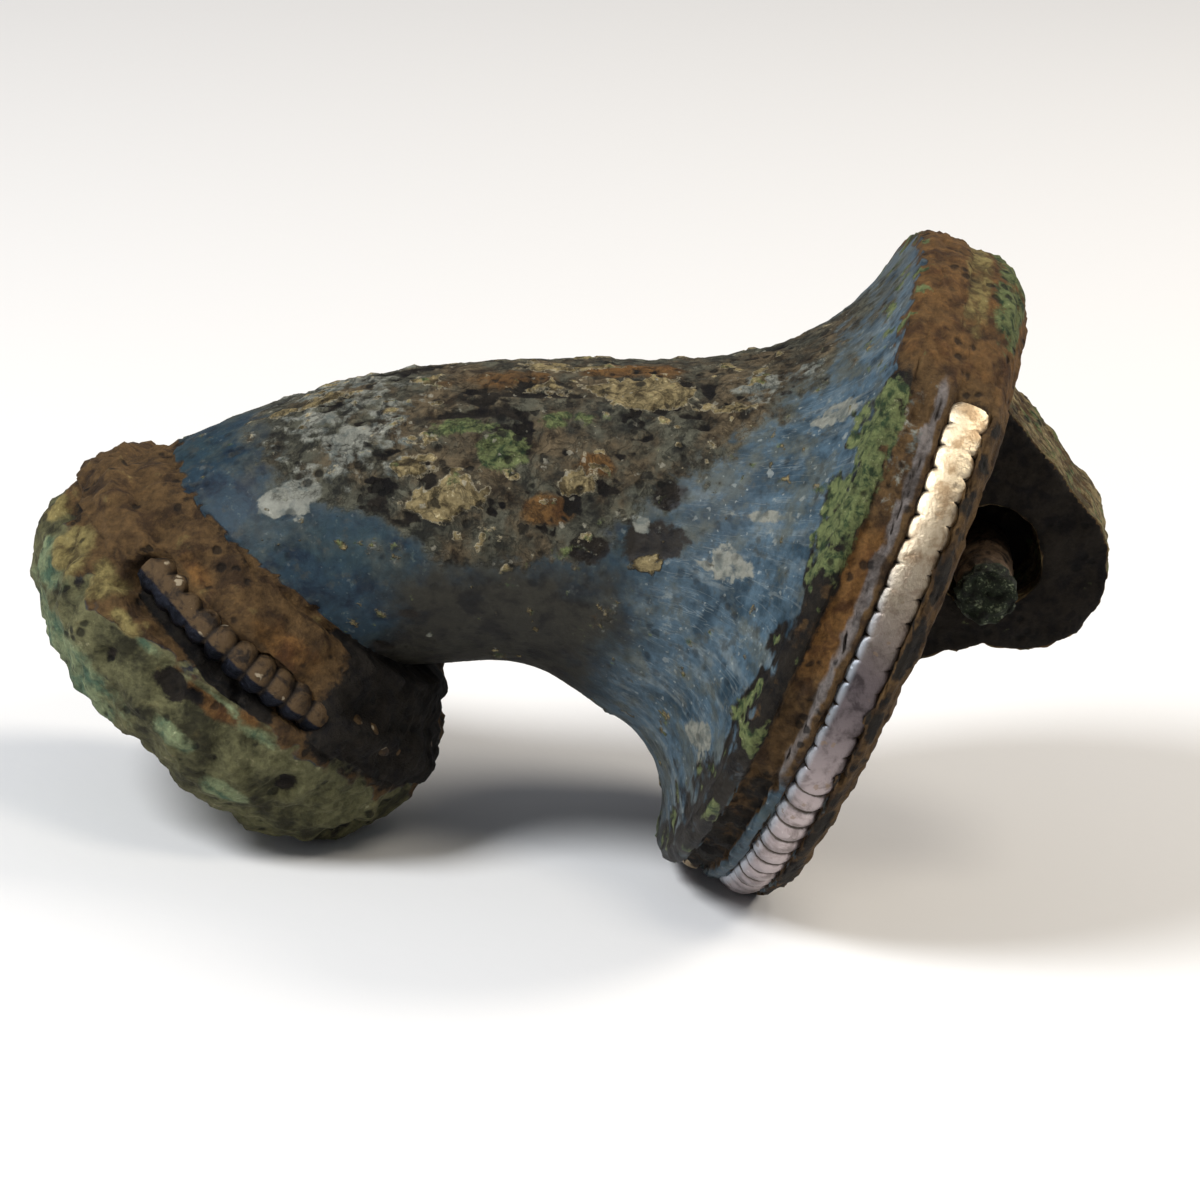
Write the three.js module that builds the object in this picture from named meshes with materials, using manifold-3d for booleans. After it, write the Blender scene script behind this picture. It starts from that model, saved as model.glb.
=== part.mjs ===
// Fragment of a cast bronze bow brooch with a trumpet-shaped head.
// Millimetres, +Z up. The arch of the bow stands in the XZ plane, with the head towards +X.
// The fragment stands like a bridge, on the lower edge of the head's rim and of the knob.

import * as THREE from 'three';
import { mergeVertices } from 'three/addons/utils/BufferGeometryUtils.js';
import Module from 'manifold-3d';

const wasm = await Module();
wasm.setup();

// ---------------------------------------------------------------- driving dimensions

const DEGREE = Math.PI / 180;

// The arch, drawn in the XZ plane with the middle of the rim wire's ring as its reference.
const HEAD_SLOPE = -16.5 * DEGREE;       // the head's axis, out of the back plate and down
const KNOB_SLOPE = 55.5 * DEGREE;        // the knob's axis, from the break up into the bow
const HEAD_CENTRE = new THREE.Vector2(7.83, 1.87);
const KNOB_TOP = new THREE.Vector2(-9.21, 0.46);     // where the bow grows out of the knob
const BOW_START_SLOPE = 30 * DEGREE;
const BOW_END_SLOPE = -5 * DEGREE;
const HEAD_REACHED = 0.82;             // share of the bow where its sections take the head's slope
const FLOOR = -7.89;                   // the surface it stands on, below the reference

// The bow's own section, a little wider across than it is high.
const BOW_RADIUS = 4.35;
const BOW_ROOT_RADIUS = 4.9;           // where it leaves the knob
const BOW_WIDTH_RATIO = 1.12;

// The trumpet: its radius falls away from the rim as a horn's does.
const FLARE = { radius: 10.0, reach: 1.8, curl: 0.8 };
const BELLY = { fullness: 0.13, behindRim: 3.6, length: 2.4 };   // the horn's lower side is fuller

// The rim, measured along the head's axis from the middle of the silver wire.
const RIM = {
  radius: 10.25,
  front: -2.5,
  frontGroove: -1.95,
  frontRidge: -0.95,
  wireGroove: -0.66,
  backRidge: 0.66,
  back: 1.2,
  frontGrooveDepth: 0.6,
  wireGrooveDepth: 1.15,
  bevel: 0.12,
};

// The knob, measured down its own axis from where the bow begins.
const KNOB = {
  length: 6.4,
  drop: 0.45,                          // its axis lies below the bow's own
  topRadius: 5.35,
  radius: 6.85,
  endRadius: 5.2,
  widestAt: 4.0,
  grooveAt: 2.0,
  grooveWidth: 1.3,
  grooveDepth: 1.1,
};

// The wires. Angles go round from the top over the near side (-Y) and the bottom.
const RIM_WIRE = { radius: 0.52, proud: 0.08, from: 44, to: 300, steps: 84, sides: 8 };
const FRONT_WIRE = { radius: 0.3, proud: 0.1, from: 164, to: 176, steps: 5, sides: 8 };
const KNOB_WIRE = { radius: 0.5, proud: 0.1, from: 50, to: 300, steps: 60, sides: 8 };

// The lug behind the head, drawn from the head's axis, and the axis stub in its hole.
const LUG = {
  width: 4.7,
  bevel: 0.35,
  noseCentre: new THREE.Vector2(3.88, 2.6),
  noseRadius: 2.7,
  rootTop: 7.45,
  rootBottom: -3.2,
  holeCentre: new THREE.Vector2(2.9, 2.45),
  holeRadius: 1.55,
};
const STUB = { centre: new THREE.Vector2(3, 1.93), radius: 0.88, near: -4.7, far: 2.1, sides: 16 };

const FACETS = 44;                     // round the casting

// ---------------------------------------------------------------- the line of the arch

// A point in the arch's plane: `along` the head's axis and `across` it, upwards.
function headPoint(along, across = 0) {
  return new THREE.Vector2(along, across).rotateAround(new THREE.Vector2(), HEAD_SLOPE)
    .add(HEAD_CENTRE);
}

function slopeVector(slope, length) {
  return new THREE.Vector2(length * Math.cos(slope), length * Math.sin(slope));
}

// A point on the knob's axis, `down` from the bow.
function knobPoint(down) {
  return slopeVector(KNOB_SLOPE, -down).add(slopeVector(KNOB_SLOPE - Math.PI / 2, KNOB.drop))
    .add(KNOB_TOP);
}

const bowEnd = headPoint(RIM.front);
const bowSpan = bowEnd.distanceTo(KNOB_TOP);
const archLine = new THREE.CubicBezierCurve(
  KNOB_TOP,
  slopeVector(BOW_START_SLOPE, bowSpan * 0.3).add(KNOB_TOP),
  slopeVector(BOW_END_SLOPE, -bowSpan * 0.4).add(bowEnd),
  bowEnd,
);
const BOW_LENGTH = archLine.getLength();

// The section `along` mm from the knob's top: its middle, and the slope of its normal, which
// turns from the knob's axis to the head's faster than the line itself does.
function archSection(along) {
  if (along < 0) {
    return { middle: knobPoint(-along), slope: KNOB_SLOPE };
  }
  if (along >= BOW_LENGTH) {
    return { middle: headPoint(RIM.front + along - BOW_LENGTH), slope: HEAD_SLOPE };
  }
  const share = along / BOW_LENGTH;
  const turn = Math.sin(Math.min(share / HEAD_REACHED, 1) * Math.PI / 2) ** 0.9;
  return {
    middle: archLine.getPointAt(share),
    slope: THREE.MathUtils.lerp(KNOB_SLOPE, HEAD_SLOPE, turn),
  };
}

// How much wider than high the section is: round at the knob and at the head.
function widthRatio(along) {
  const share = THREE.MathUtils.clamp(along / BOW_LENGTH, 0, 1);
  return 1 + (BOW_WIDTH_RATIO - 1) * Math.sin(share * Math.PI) ** 0.7;
}

// ---------------------------------------------------------------- the casting's profile

// Each profile is a list of (radius, place along the arch), turned first and bent afterwards.

// The knob swells like a cone from the bow to its widest place, and rounds off to the break.
function knobRadius(down) {
  const rise = Math.sin(Math.min(down / KNOB.widestAt, 1) * Math.PI / 2);
  const fall = Math.max(down - KNOB.widestAt, 0) / (KNOB.length - KNOB.widestAt);
  return KNOB.topRadius + (KNOB.radius - KNOB.topRadius) * rise
    - (KNOB.radius - KNOB.endRadius) * fall ** 2.2;
}

function knobProfile() {
  const points = [];
  const rings = 14;
  const grooveTop = KNOB.grooveAt - KNOB.grooveWidth / 2;
  const grooveEnd = KNOB.grooveAt + KNOB.grooveWidth / 2;
  for (let ring = 0; ring <= rings; ring++) {
    const down = KNOB.length * (1 - ring / rings) + 0.02;
    if (down > grooveTop - 0.2 && down < grooveEnd + 0.2) continue;
    points.push([knobRadius(down), -down]);
  }
  const floor = knobRadius(KNOB.grooveAt) - KNOB.grooveDepth;
  const groove = [
    [knobRadius(grooveEnd), -grooveEnd],
    [floor, -grooveEnd + 0.15],
    [floor, -grooveTop - 0.15],
    [knobRadius(grooveTop), -grooveTop],
  ];
  const place = points.findIndex(([, along]) => along > -grooveTop);
  points.splice(place, 0, ...groove);
  return points;
}

function bowRadius(along) {
  const behind = BOW_LENGTH - along;
  const flare = Math.exp(-((behind / FLARE.reach) ** FLARE.curl));
  const root = Math.exp(-along / 1.2);
  return BOW_RADIUS + (FLARE.radius - BOW_RADIUS) * flare
    + (BOW_ROOT_RADIUS - BOW_RADIUS) * root;
}

function bowProfile() {
  const points = [];
  const rings = 30;
  for (let ring = 1; ring <= rings; ring++) {
    // The rings crowd together towards the rim, where the horn opens.
    const along = BOW_LENGTH * (1 - (1 - ring / rings) ** 1.6);
    points.push([bowRadius(along), along]);
  }
  return points;
}

function rimProfile() {
  const place = (alongHead) => BOW_LENGTH + alongHead - RIM.front;
  const { radius, bevel } = RIM;
  const frontFloor = radius - RIM.frontGrooveDepth;
  const wireFloor = radius - RIM.wireGrooveDepth;
  return [
    [radius - bevel, place(RIM.front + 0.25)],
    [radius - bevel, place(RIM.frontGroove)],
    [frontFloor, place(RIM.frontGroove + bevel)],
    [frontFloor, place(RIM.frontRidge - bevel)],
    [radius, place(RIM.frontRidge)],
    [radius, place(RIM.wireGroove)],
    [wireFloor, place(RIM.wireGroove + bevel)],
    [wireFloor, place(RIM.backRidge - bevel)],
    [radius - bevel, place(RIM.backRidge)],
    [radius - 2 * bevel, place(RIM.back - 2 * bevel)],
    [radius - 4 * bevel, place(RIM.back)],
  ];
}

// ---------------------------------------------------------------- solids

// How far the horn's lower side stands out below the turned shape.
function belly(point) {
  if (point.z >= 0) return 0;
  const place = (point.y - BOW_LENGTH + BELLY.behindRim) / BELLY.length;
  const radius = Math.hypot(point.x, point.z);
  return BELLY.fullness * Math.exp(-place * place) * point.z ** 2 / radius;
}

// Places a point of the turned shape (its axis on Y) on the arch.
function bend(point) {
  const up = point.z - belly(point);
  const { middle, slope } = archSection(point.y);
  return point.set(
    middle.x - up * Math.sin(slope),
    -point.x * widthRatio(point.y),
    middle.y + up * Math.cos(slope),
  );
}

// Bends a circle's worth of wire round the axis of the head or of the knob.
function ringPoint(centre, slope, radius, angle, offset) {
  const out = radius + offset.x;
  const up = out * Math.cos(angle);
  return new THREE.Vector3(
    centre.x + offset.y * Math.cos(slope) - up * Math.sin(slope),
    -out * Math.sin(angle),
    centre.y + offset.y * Math.sin(slope) + up * Math.cos(slope),
  );
}

function mapVertices(geometry, place) {
  const positions = geometry.attributes.position;
  const point = new THREE.Vector3();
  for (let i = 0; i < positions.count; i++) {
    point.fromBufferAttribute(positions, i);
    const placed = place(point);
    positions.setXYZ(i, placed.x, placed.y, placed.z);
  }
  return geometry;
}

// A closed geometry as a solid: shared corners merged, triangles without area left out.
function toSolid(geometry) {
  const bare = geometry.clone();
  bare.deleteAttribute('normal');
  bare.deleteAttribute('uv');
  const merged = mergeVertices(bare, 1e-4);
  const corners = merged.index.array;
  const kept = [];
  for (let i = 0; i < corners.length; i += 3) {
    const [a, b, c] = [corners[i], corners[i + 1], corners[i + 2]];
    if (a !== b && b !== c && c !== a) kept.push(a, b, c);
  }
  return new wasm.Manifold(new wasm.Mesh({
    numProp: 3,
    vertProperties: merged.attributes.position.array,
    triVerts: Uint32Array.from(kept),
  }));
}

function toGeometry(solid) {
  const mesh = solid.getMesh();
  const geometry = new THREE.BufferGeometry();
  geometry.setAttribute('position', new THREE.BufferAttribute(mesh.vertProperties, 3));
  geometry.setIndex(new THREE.BufferAttribute(mesh.triVerts, 1));
  geometry.computeVertexNormals();
  return geometry;
}

function castingSolid() {
  const profile = [...knobProfile(), ...bowProfile(), ...rimProfile()];
  const first = profile[0];
  const last = profile[profile.length - 1];
  const outline = [[0, first[1]], ...profile, [0, last[1]]]
    .map(([radius, along]) => new THREE.Vector2(radius, along));
  return toSolid(mapVertices(new THREE.LatheGeometry(outline, FACETS), bend));
}

// Turns a shape drawn along and across the head's axis into the arch's plane, centred on Y.
function acrossHead(geometry, depth) {
  return geometry
    .translate(0, 0, -depth / 2)
    .rotateZ(HEAD_SLOPE)
    .rotateX(Math.PI / 2)
    .translate(HEAD_CENTRE.x, 0, HEAD_CENTRE.y);
}

function lugSolid() {
  const { noseCentre, noseRadius, rootTop, rootBottom, bevel } = LUG;
  const root = RIM.back - 0.5;
  const outline = new THREE.Shape();
  outline.moveTo(root, rootBottom);
  outline.lineTo(noseCentre.x - 0.55 * noseRadius, noseCentre.y - 1.46 * noseRadius);
  outline.absarc(noseCentre.x, noseCentre.y, noseRadius, -Math.PI / 2, Math.PI * 0.337);
  outline.lineTo(root, rootTop);
  const body = new THREE.ExtrudeGeometry(outline, {
    depth: LUG.width - 2 * bevel,
    bevelThickness: bevel,
    bevelSize: bevel,
    bevelOffset: -bevel,
    bevelSegments: 2,
    curveSegments: 10,
  });
  return toSolid(acrossHead(body.translate(0, 0, bevel), LUG.width));
}

function rodAcross(centre, radius, near, far, sides) {
  const place = headPoint(centre.x, centre.y);
  return new THREE.CylinderGeometry(radius, radius, far - near, sides)
    .translate(place.x, (near + far) / 2, place.y);
}

function floorCut() {
  const size = 60;
  return toSolid(new THREE.BoxGeometry(size, size, size).translate(0, 0, FLOOR - size / 2));
}

function bowSolid() {
  const hole = rodAcross(LUG.holeCentre, LUG.holeRadius, -LUG.width, LUG.width, 28);
  return castingSolid().add(lugSolid()).subtract(toSolid(hole)).subtract(floorCut());
}

// A length of wire lying round an axis: a straight rod bent into an arc.
function wireSolid(wire, centre, slope, ringRadius) {
  const { radius, from, to, steps, sides } = wire;
  const rod = new THREE.CylinderGeometry(radius, radius, 1, sides, steps);
  const place = (point) => {
    const angle = THREE.MathUtils.lerp(from, to, point.y + 0.5) * DEGREE;
    return ringPoint(centre, slope, ringRadius, angle, new THREE.Vector2(point.x, point.z));
  };
  return toSolid(mapVertices(rod, place)).subtract(floorCut());
}

function rimWireSolid(wire, along) {
  const centre = headPoint(along);
  return wireSolid(wire, centre, HEAD_SLOPE, RIM.radius + wire.proud - wire.radius);
}

function knobWireSolid() {
  const radius = knobRadius(KNOB.grooveAt) + KNOB_WIRE.proud - KNOB_WIRE.radius;
  return wireSolid(KNOB_WIRE, knobPoint(KNOB.grooveAt), KNOB_SLOPE, radius);
}

function stubSolid() {
  const { centre, radius, near, far, sides } = STUB;
  return toSolid(rodAcross(centre, radius, near, far, sides));
}

// ---------------------------------------------------------------- the fragment

const finishes = {
  bronze: { color: 0x3e5262, roughness: 0.62, metalness: 0.35 },
  silver: { color: 0xc9c2bb, roughness: 0.3, metalness: 0.9 },
  darkSilver: { color: 0x6f675c, roughness: 0.45, metalness: 0.7 },
  corroded: { color: 0x3f5b45, roughness: 0.9, metalness: 0.05 },
};

function piece(name, solid, finish) {
  const mesh = new THREE.Mesh(toGeometry(solid), new THREE.MeshStandardMaterial(finishes[finish]));
  mesh.name = name;
  return mesh;
}

const fragment = new THREE.Group();
fragment.name = 'brooch_fragment';
fragment.add(
  piece('bow', bowSolid(), 'bronze'),
  piece('rim_wire', rimWireSolid(RIM_WIRE, 0), 'silver'),
  piece('front_rim_wire', rimWireSolid(FRONT_WIRE, (RIM.frontGroove + RIM.frontRidge) / 2), 'silver'),
  piece('knob_wire', knobWireSolid(), 'darkSilver'),
  piece('spring_pin', stubSolid(), 'corroded'),
);

// The origin is the middle of the ground that the fragment covers.
const box = new THREE.Box3().setFromObject(fragment);
fragment.position.set(-(box.min.x + box.max.x) / 2, -(box.min.y + box.max.y) / 2, -FLOOR);

export default fragment;
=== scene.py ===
"""Fragment of a bronze bow brooch: knob, arched bow, trumpet-shaped head and silver wires.

Laid out as an add-on. The CAD frame is loaded first, then each operator makes its pieces round it.
Shapes are worked out in millimetres and put into their meshes in metres.
"""

import math
from types import SimpleNamespace

import bpy
import numpy as np
from bpy.props import FloatProperty, FloatVectorProperty, PointerProperty
from mathutils import Matrix, Vector, noise


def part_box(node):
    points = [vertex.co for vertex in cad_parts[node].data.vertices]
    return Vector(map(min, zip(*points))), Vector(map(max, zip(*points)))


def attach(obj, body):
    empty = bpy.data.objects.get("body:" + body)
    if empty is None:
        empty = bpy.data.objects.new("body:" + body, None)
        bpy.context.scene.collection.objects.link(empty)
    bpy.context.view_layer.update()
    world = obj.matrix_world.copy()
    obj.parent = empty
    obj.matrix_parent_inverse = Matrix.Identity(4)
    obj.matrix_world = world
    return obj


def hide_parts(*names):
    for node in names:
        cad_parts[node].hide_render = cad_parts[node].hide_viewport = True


bl_info = {
    "name": "Trumpet-headed brooch fragment",
    "version": (1, 0, 0),
    "blender": (4, 5, 0),
    "location": "View3D > Sidebar > Brooch",
    "description": "Builds the corroded fragment of a bronze bow brooch round its CAD frame",
    "category": "Add Mesh",
}

MM = 0.001

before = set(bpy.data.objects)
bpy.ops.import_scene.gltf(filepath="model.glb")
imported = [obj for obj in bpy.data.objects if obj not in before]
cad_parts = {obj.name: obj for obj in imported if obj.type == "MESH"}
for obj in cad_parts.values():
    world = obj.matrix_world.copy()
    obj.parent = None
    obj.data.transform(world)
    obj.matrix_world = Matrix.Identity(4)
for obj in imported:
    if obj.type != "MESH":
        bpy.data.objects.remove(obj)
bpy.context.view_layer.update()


# ---------------------------------------------------------------- sizes and colours


def length(name, millimetres, text):
    default = millimetres * MM
    return FloatProperty(name=name, description=text, default=default, unit="LENGTH", precision=5)


def turn(name, degrees, text):
    default = math.radians(degrees)
    return FloatProperty(name=name, description=text, default=default, subtype="ANGLE")


def ratio(name, value, text):
    return FloatProperty(name=name, description=text, default=value)


def place(name, along, across, text):
    kind = {"size": 2, "unit": "LENGTH", "precision": 5}
    default = (along * MM, across * MM)
    return FloatVectorProperty(name=name, description=text, default=default, **kind)


def colour(name, red, green, blue, text):
    kind = {"size": 3, "subtype": "COLOR", "min": 0.0, "max": 1.0}
    return FloatVectorProperty(name=name, description=text, default=(red, green, blue), **kind)


class ArchSizes(bpy.types.PropertyGroup):
    """The line of the arch, and how its sections stand on it."""

    head_slope: turn("Head slope", -16.5, "Slope of the head's axis")
    knob_slope: turn("Knob slope", 55.5, "Slope of the knob's axis")
    start_slope: turn("Start slope", 30.0, "Slope of the bow where it leaves the knob")
    end_slope: turn("End slope", -5.0, "Slope of the bow where it meets the rim")
    head_centre: place("Head centre", 7.83, 1.87, "Middle of the rim wire's ring")
    knob_top: place("Knob top", -9.21, 0.46, "Where the bow grows out of the knob")
    head_reached: ratio("Head reached", 0.82, "Share of the bow where it takes the head's slope")
    width_ratio: ratio("Width ratio", 1.12, "Width of the bow's section over its height")
    ground: length("Ground", -7.89, "Height of the ground in the arch's own measures")


class BowSizes(bpy.types.PropertyGroup):
    """The bow and the trumpet that it opens into."""

    radius: length("Radius", 4.35, "Radius of the bow")
    root_radius: length("Root radius", 4.9, "Radius where the bow leaves the knob")
    flare_radius: length("Flare radius", 10.0, "Radius of the trumpet at the rim")
    flare_reach: length("Flare reach", 1.8, "How far behind the rim the trumpet opens")
    flare_curl: ratio("Flare curl", 0.8, "How suddenly the trumpet opens")
    belly_fullness: ratio("Belly fullness", 0.13, "How much fuller the horn is below")
    belly_behind_rim: length("Belly place", 3.6, "Where it is fullest, behind the rim")
    belly_length: length("Belly length", 2.4, "Length of the fuller stretch")


class RimSizes(bpy.types.PropertyGroup):
    """The rim, measured along the head's axis from the middle of the silver wire."""

    radius: length("Radius", 10.25, "Radius of the rim")
    front: length("Front", -2.5, "Where the horn ends and the rim begins")
    front_groove: length("Front groove", -1.95, "Front edge of the narrow groove")
    front_ridge: length("Front ridge", -0.95, "Back edge of the narrow groove")
    wire_groove: length("Wire groove", -0.66, "Front edge of the silver wire's groove")
    back_ridge: length("Back ridge", 0.66, "Back edge of the silver wire's groove")
    back: length("Back", 1.2, "The head's flat back")
    front_depth: length("Front groove depth", 0.6, "Depth of the narrow groove")
    wire_depth: length("Wire groove depth", 1.15, "Depth of the silver wire's groove")


class KnobSizes(bpy.types.PropertyGroup):
    """The knob, measured down its own axis from where the bow begins."""

    length: length("Length", 6.4, "From the bow to the break")
    drop: length("Drop", 0.45, "How far its axis lies below the bow's")
    top_radius: length("Top radius", 5.35, "Radius beside the bow")
    radius: length("Radius", 6.85, "Radius at its widest place")
    end_radius: length("End radius", 5.2, "Radius at the break")
    widest_at: length("Widest at", 4.0, "Where it is widest")
    groove_at: length("Groove at", 2.0, "Middle of the wire's groove")
    groove_width: length("Groove width", 1.3, "Width of the wire's groove")
    groove_depth: length("Groove depth", 1.1, "Depth of the wire's groove")


class LugSizes(bpy.types.PropertyGroup):
    """The pierced lug behind the head, and the broken spring axis in its hole."""

    width: length("Width", 4.7, "Thickness of the lug, across the brooch")
    nose: place("Nose", 3.88, 2.6, "Middle of the lug's round nose, from the head's centre")
    nose_radius: length("Nose radius", 2.7, "Radius of the lug's nose")
    root_top: length("Root top", 7.45, "Where its upper edge leaves the head")
    root_bottom: length("Root bottom", -3.2, "Where its lower edge leaves the head")
    hole: place("Hole", 2.9, 2.45, "Middle of the hole")
    hole_radius: length("Hole radius", 1.55, "Radius of the hole")
    soil_from: length("Soil from", 0.6, "Near face of the soil that closes the hole")
    soil_depth: length("Soil depth", 0.8, "Thickness of the soil that closes the hole")
    pin: place("Pin", 3.0, 1.93, "Middle of the spring axis")
    pin_radius: length("Pin radius", 0.88, "Radius of the spring axis")
    pin_near: length("Pin near end", -4.7, "Near end of the broken axis")
    pin_far: length("Pin far end", 2.1, "Far end of the broken axis")

def wire_sizes(name, text, **sizes):
    """A group of sizes for one beaded wire. Angles go round from the top over the near side."""
    fields = {
        "radius": (length, "Radius of the wire"),
        "proud": (length, "How far it stands out of its groove"),
        "start": (turn, "Where it starts"),
        "finish": (turn, "Where it ends"),
        "pitch": (length, "From bead to bead"),
        "bead_depth": (ratio, "How deep the wire draws in between beads"),
        "roundness": (ratio, "How gently the beads round off"),
        "flattened": (ratio, "How much of the radius is worn away outside"),
        "flat_until": (turn, "Where the worn stretch ends"),
    }
    made = {
        key: kind(key.replace("_", " ").capitalize(), sizes[key], what)
        for key, (kind, what) in fields.items()
    }
    return type(name, (bpy.types.PropertyGroup,), {"__doc__": text, "__annotations__": made})


RimWireSizes = wire_sizes(
    "RimWireSizes", "The silver wire in the rim's main groove.",
    radius=0.72, proud=0.2, start=42.0, finish=300.0, pitch=0.72,
    bead_depth=0.27, roundness=0.45, flattened=0.24, flat_until=118.0,
)
FrontWireSizes = wire_sizes(
    "FrontWireSizes", "The remnant of a thin silver wire in the narrow groove.",
    radius=0.3, proud=0.1, start=164.0, finish=176.0, pitch=0.5,
    bead_depth=0.15, roundness=0.45, flattened=0.3, flat_until=176.0,
)
KnobWireSizes = wire_sizes(
    "KnobWireSizes", "The dark silver wire in the knob's groove.",
    radius=0.64, proud=0.26, start=50.0, finish=300.0, pitch=0.7,
    bead_depth=0.34, roundness=0.8, flattened=0.1, flat_until=80.0,
)


class StageSizes(bpy.types.PropertyGroup):
    """Floor, camera and lights."""

    distance: length("Camera distance", 170.0, "From the camera to what it looks at")
    elevation: turn("Elevation", 17.0, "Height of the camera above the horizon")
    roll: turn("Roll", 6.7, "Turn of the camera about its own line of sight")
    lens: ratio("Lens", 168.3, "Focal length over a sensor 36 mm wide")
    floor_colour: colour("Floor", 0.78, 0.77, 0.765, "Colour of the floor")
def in_mm(group):
    """The group's values, with lengths in millimetres."""
    values = {}
    for key, item in group.bl_rna.properties.items():
        if key not in ("rna_type", "name"):
            value = getattr(group, key)
            value = np.array(value) if item.is_array else value
            values[key] = value / MM if item.unit == "LENGTH" else value
    return SimpleNamespace(**values)


# ---------------------------------------------------------------- the line of the arch


def slope_vector(slope, size=1.0):
    return np.array([math.cos(slope), math.sin(slope)]) * size


def ease(values, low, high):
    """0 below low, 1 above high, smooth between them."""
    share = np.clip((values - low) / (high - low), 0, 1)
    return share * share * (3 - 2 * share)


class Arch:
    """The arch in the XZ plane and the turned casting that is bent along it."""

    def __init__(self, scene):
        self.sizes = in_mm(scene.brooch_arch)
        self.bow = in_mm(scene.brooch_bow)
        self.rim = in_mm(scene.brooch_rim)
        self.knob = in_mm(scene.brooch_knob)
        self.lug = in_mm(scene.brooch_lug)
        sizes = self.sizes
        end = self.head_point(self.rim.front)
        start = sizes.knob_top
        span = np.linalg.norm(end - start)
        first = start + slope_vector(sizes.start_slope, 0.3 * span)
        second = end - slope_vector(sizes.end_slope, 0.4 * span)
        t = np.linspace(0, 1, 401)[:, None]
        self.line = (
            start * (1 - t) ** 3
            + first * 3 * t * (1 - t) ** 2
            + second * 3 * t**2 * (1 - t)
            + end * t**3
        )
        steps = np.linalg.norm(np.diff(self.line, axis=0), axis=1)
        self.places = np.concatenate([[0], np.cumsum(steps)])
        self.length = self.places[-1]
        # The lug's nose reaches the frame's far end, which gives the arch its place in the frame.
        nose = self.head_point(*self.lug.nose)
        far_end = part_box("bow")[1][0] / MM
        self.shift = np.array([far_end - nose[0] - self.lug.nose_radius, 0, -sizes.ground])

    def head_point(self, along, across=0.0):
        """A point along the head's axis and across it, upwards."""
        slope = self.sizes.head_slope
        across_vector = slope_vector(slope + math.pi / 2, across)
        return self.sizes.head_centre + slope_vector(slope, along) + across_vector

    def knob_point(self, down):
        slope = self.sizes.knob_slope
        dropped = slope_vector(slope - math.pi / 2, self.knob.drop)
        return self.sizes.knob_top + slope_vector(slope, -down) + dropped

    def sections(self, along):
        """Middle and slope of the section at each place along the arch."""
        sizes = self.sizes
        share = np.clip(along / self.length, 0, 1)
        turned = np.sin(np.minimum(share / sizes.head_reached, 1) * math.pi / 2) ** 0.9
        slope = sizes.knob_slope + (sizes.head_slope - sizes.knob_slope) * turned
        x = np.interp(along, self.places, self.line[:, 0])
        z = np.interp(along, self.places, self.line[:, 1])
        on_knob = along < 0
        on_head = along > self.length
        knob_x, knob_z = self.knob_point(0)
        x = np.where(on_knob, knob_x + along * math.cos(sizes.knob_slope), x)
        z = np.where(on_knob, knob_z + along * math.sin(sizes.knob_slope), z)
        ahead = along - self.length
        x = np.where(on_head, x + ahead * math.cos(sizes.head_slope), x)
        z = np.where(on_head, z + ahead * math.sin(sizes.head_slope), z)
        return x, z, slope

    def points(self, radius, along, angle):
        """Points of the bent casting. Angles go round from the top over the near side."""
        bow = self.bow
        up = radius * np.cos(angle)
        side = radius * np.sin(angle)
        behind = (along - self.length + bow.belly_behind_rim) / bow.belly_length
        belly = bow.belly_fullness * np.exp(-(behind**2)) * up**2 / np.maximum(radius, 1e-6)
        up = np.where(up < 0, up - belly, up)
        share = np.clip(along / self.length, 0, 1)
        width = 1 + (self.sizes.width_ratio - 1) * np.sin(share * math.pi) ** 0.7
        x, z, slope = self.sections(along)
        points = [x - up * np.sin(slope), -side * width, z + up * np.cos(slope)]
        return np.stack(points, axis=-1) + self.shift

    def bow_radius(self, along):
        bow = self.bow
        behind = np.maximum(self.length - along, 0)
        flare = np.exp(-((behind / bow.flare_reach) ** bow.flare_curl))
        root = np.exp(-along / 1.2)
        return (
            bow.radius
            + (bow.flare_radius - bow.radius) * flare
            + (bow.root_radius - bow.radius) * root
        )

    def knob_radius(self, down):
        knob = self.knob
        rise = np.sin(np.minimum(down / knob.widest_at, 1) * math.pi / 2)
        fall = np.maximum(down - knob.widest_at, 0) / (knob.length - knob.widest_at)
        return (
            knob.top_radius
            + (knob.radius - knob.top_radius) * rise
            - (knob.radius - knob.end_radius) * fall**2.2
        )


def groove(values, low, high, wall=0.1):
    """1 on a groove's floor and 0 outside it, with walls `wall` mm wide."""
    return ease(values, low, low + wall) * (1 - ease(values, high - wall, high))


# ---------------------------------------------------------------- meshes


def new_mesh_object(name, points, faces):
    mesh = bpy.data.meshes.new(name)
    mesh.from_pydata((np.asarray(points) * MM).tolist(), [], faces)
    mesh.update()
    made = bpy.data.objects.new(name, mesh)
    bpy.context.scene.collection.objects.link(made)
    return made


def grid_faces(rings, sides):
    """Quads of a closed tube, with a fan of triangles to a pole at each end."""
    ring, side = np.meshgrid(np.arange(rings - 1), np.arange(sides), indexing="ij")
    a = ring * sides + side
    b = ring * sides + (side + 1) % sides
    quads = np.stack([a, b, b + sides, a + sides], axis=-1).reshape(-1, 4).tolist()
    first, last = rings * sides, rings * sides + 1
    start = [[(s + 1) % sides, s, first] for s in range(sides)]
    base = (rings - 1) * sides
    end = [[base + s, base + (s + 1) % sides, last] for s in range(sides)]
    return quads + start + end


def bake_modifiers(made):
    """Turns the object with its modifiers into one plain mesh."""
    graph = bpy.context.evaluated_depsgraph_get()
    mesh = bpy.data.meshes.new_from_object(made.evaluated_get(graph))
    made.modifiers.clear()
    made.data = mesh
    return made


# ---------------------------------------------------------------- relief


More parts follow.
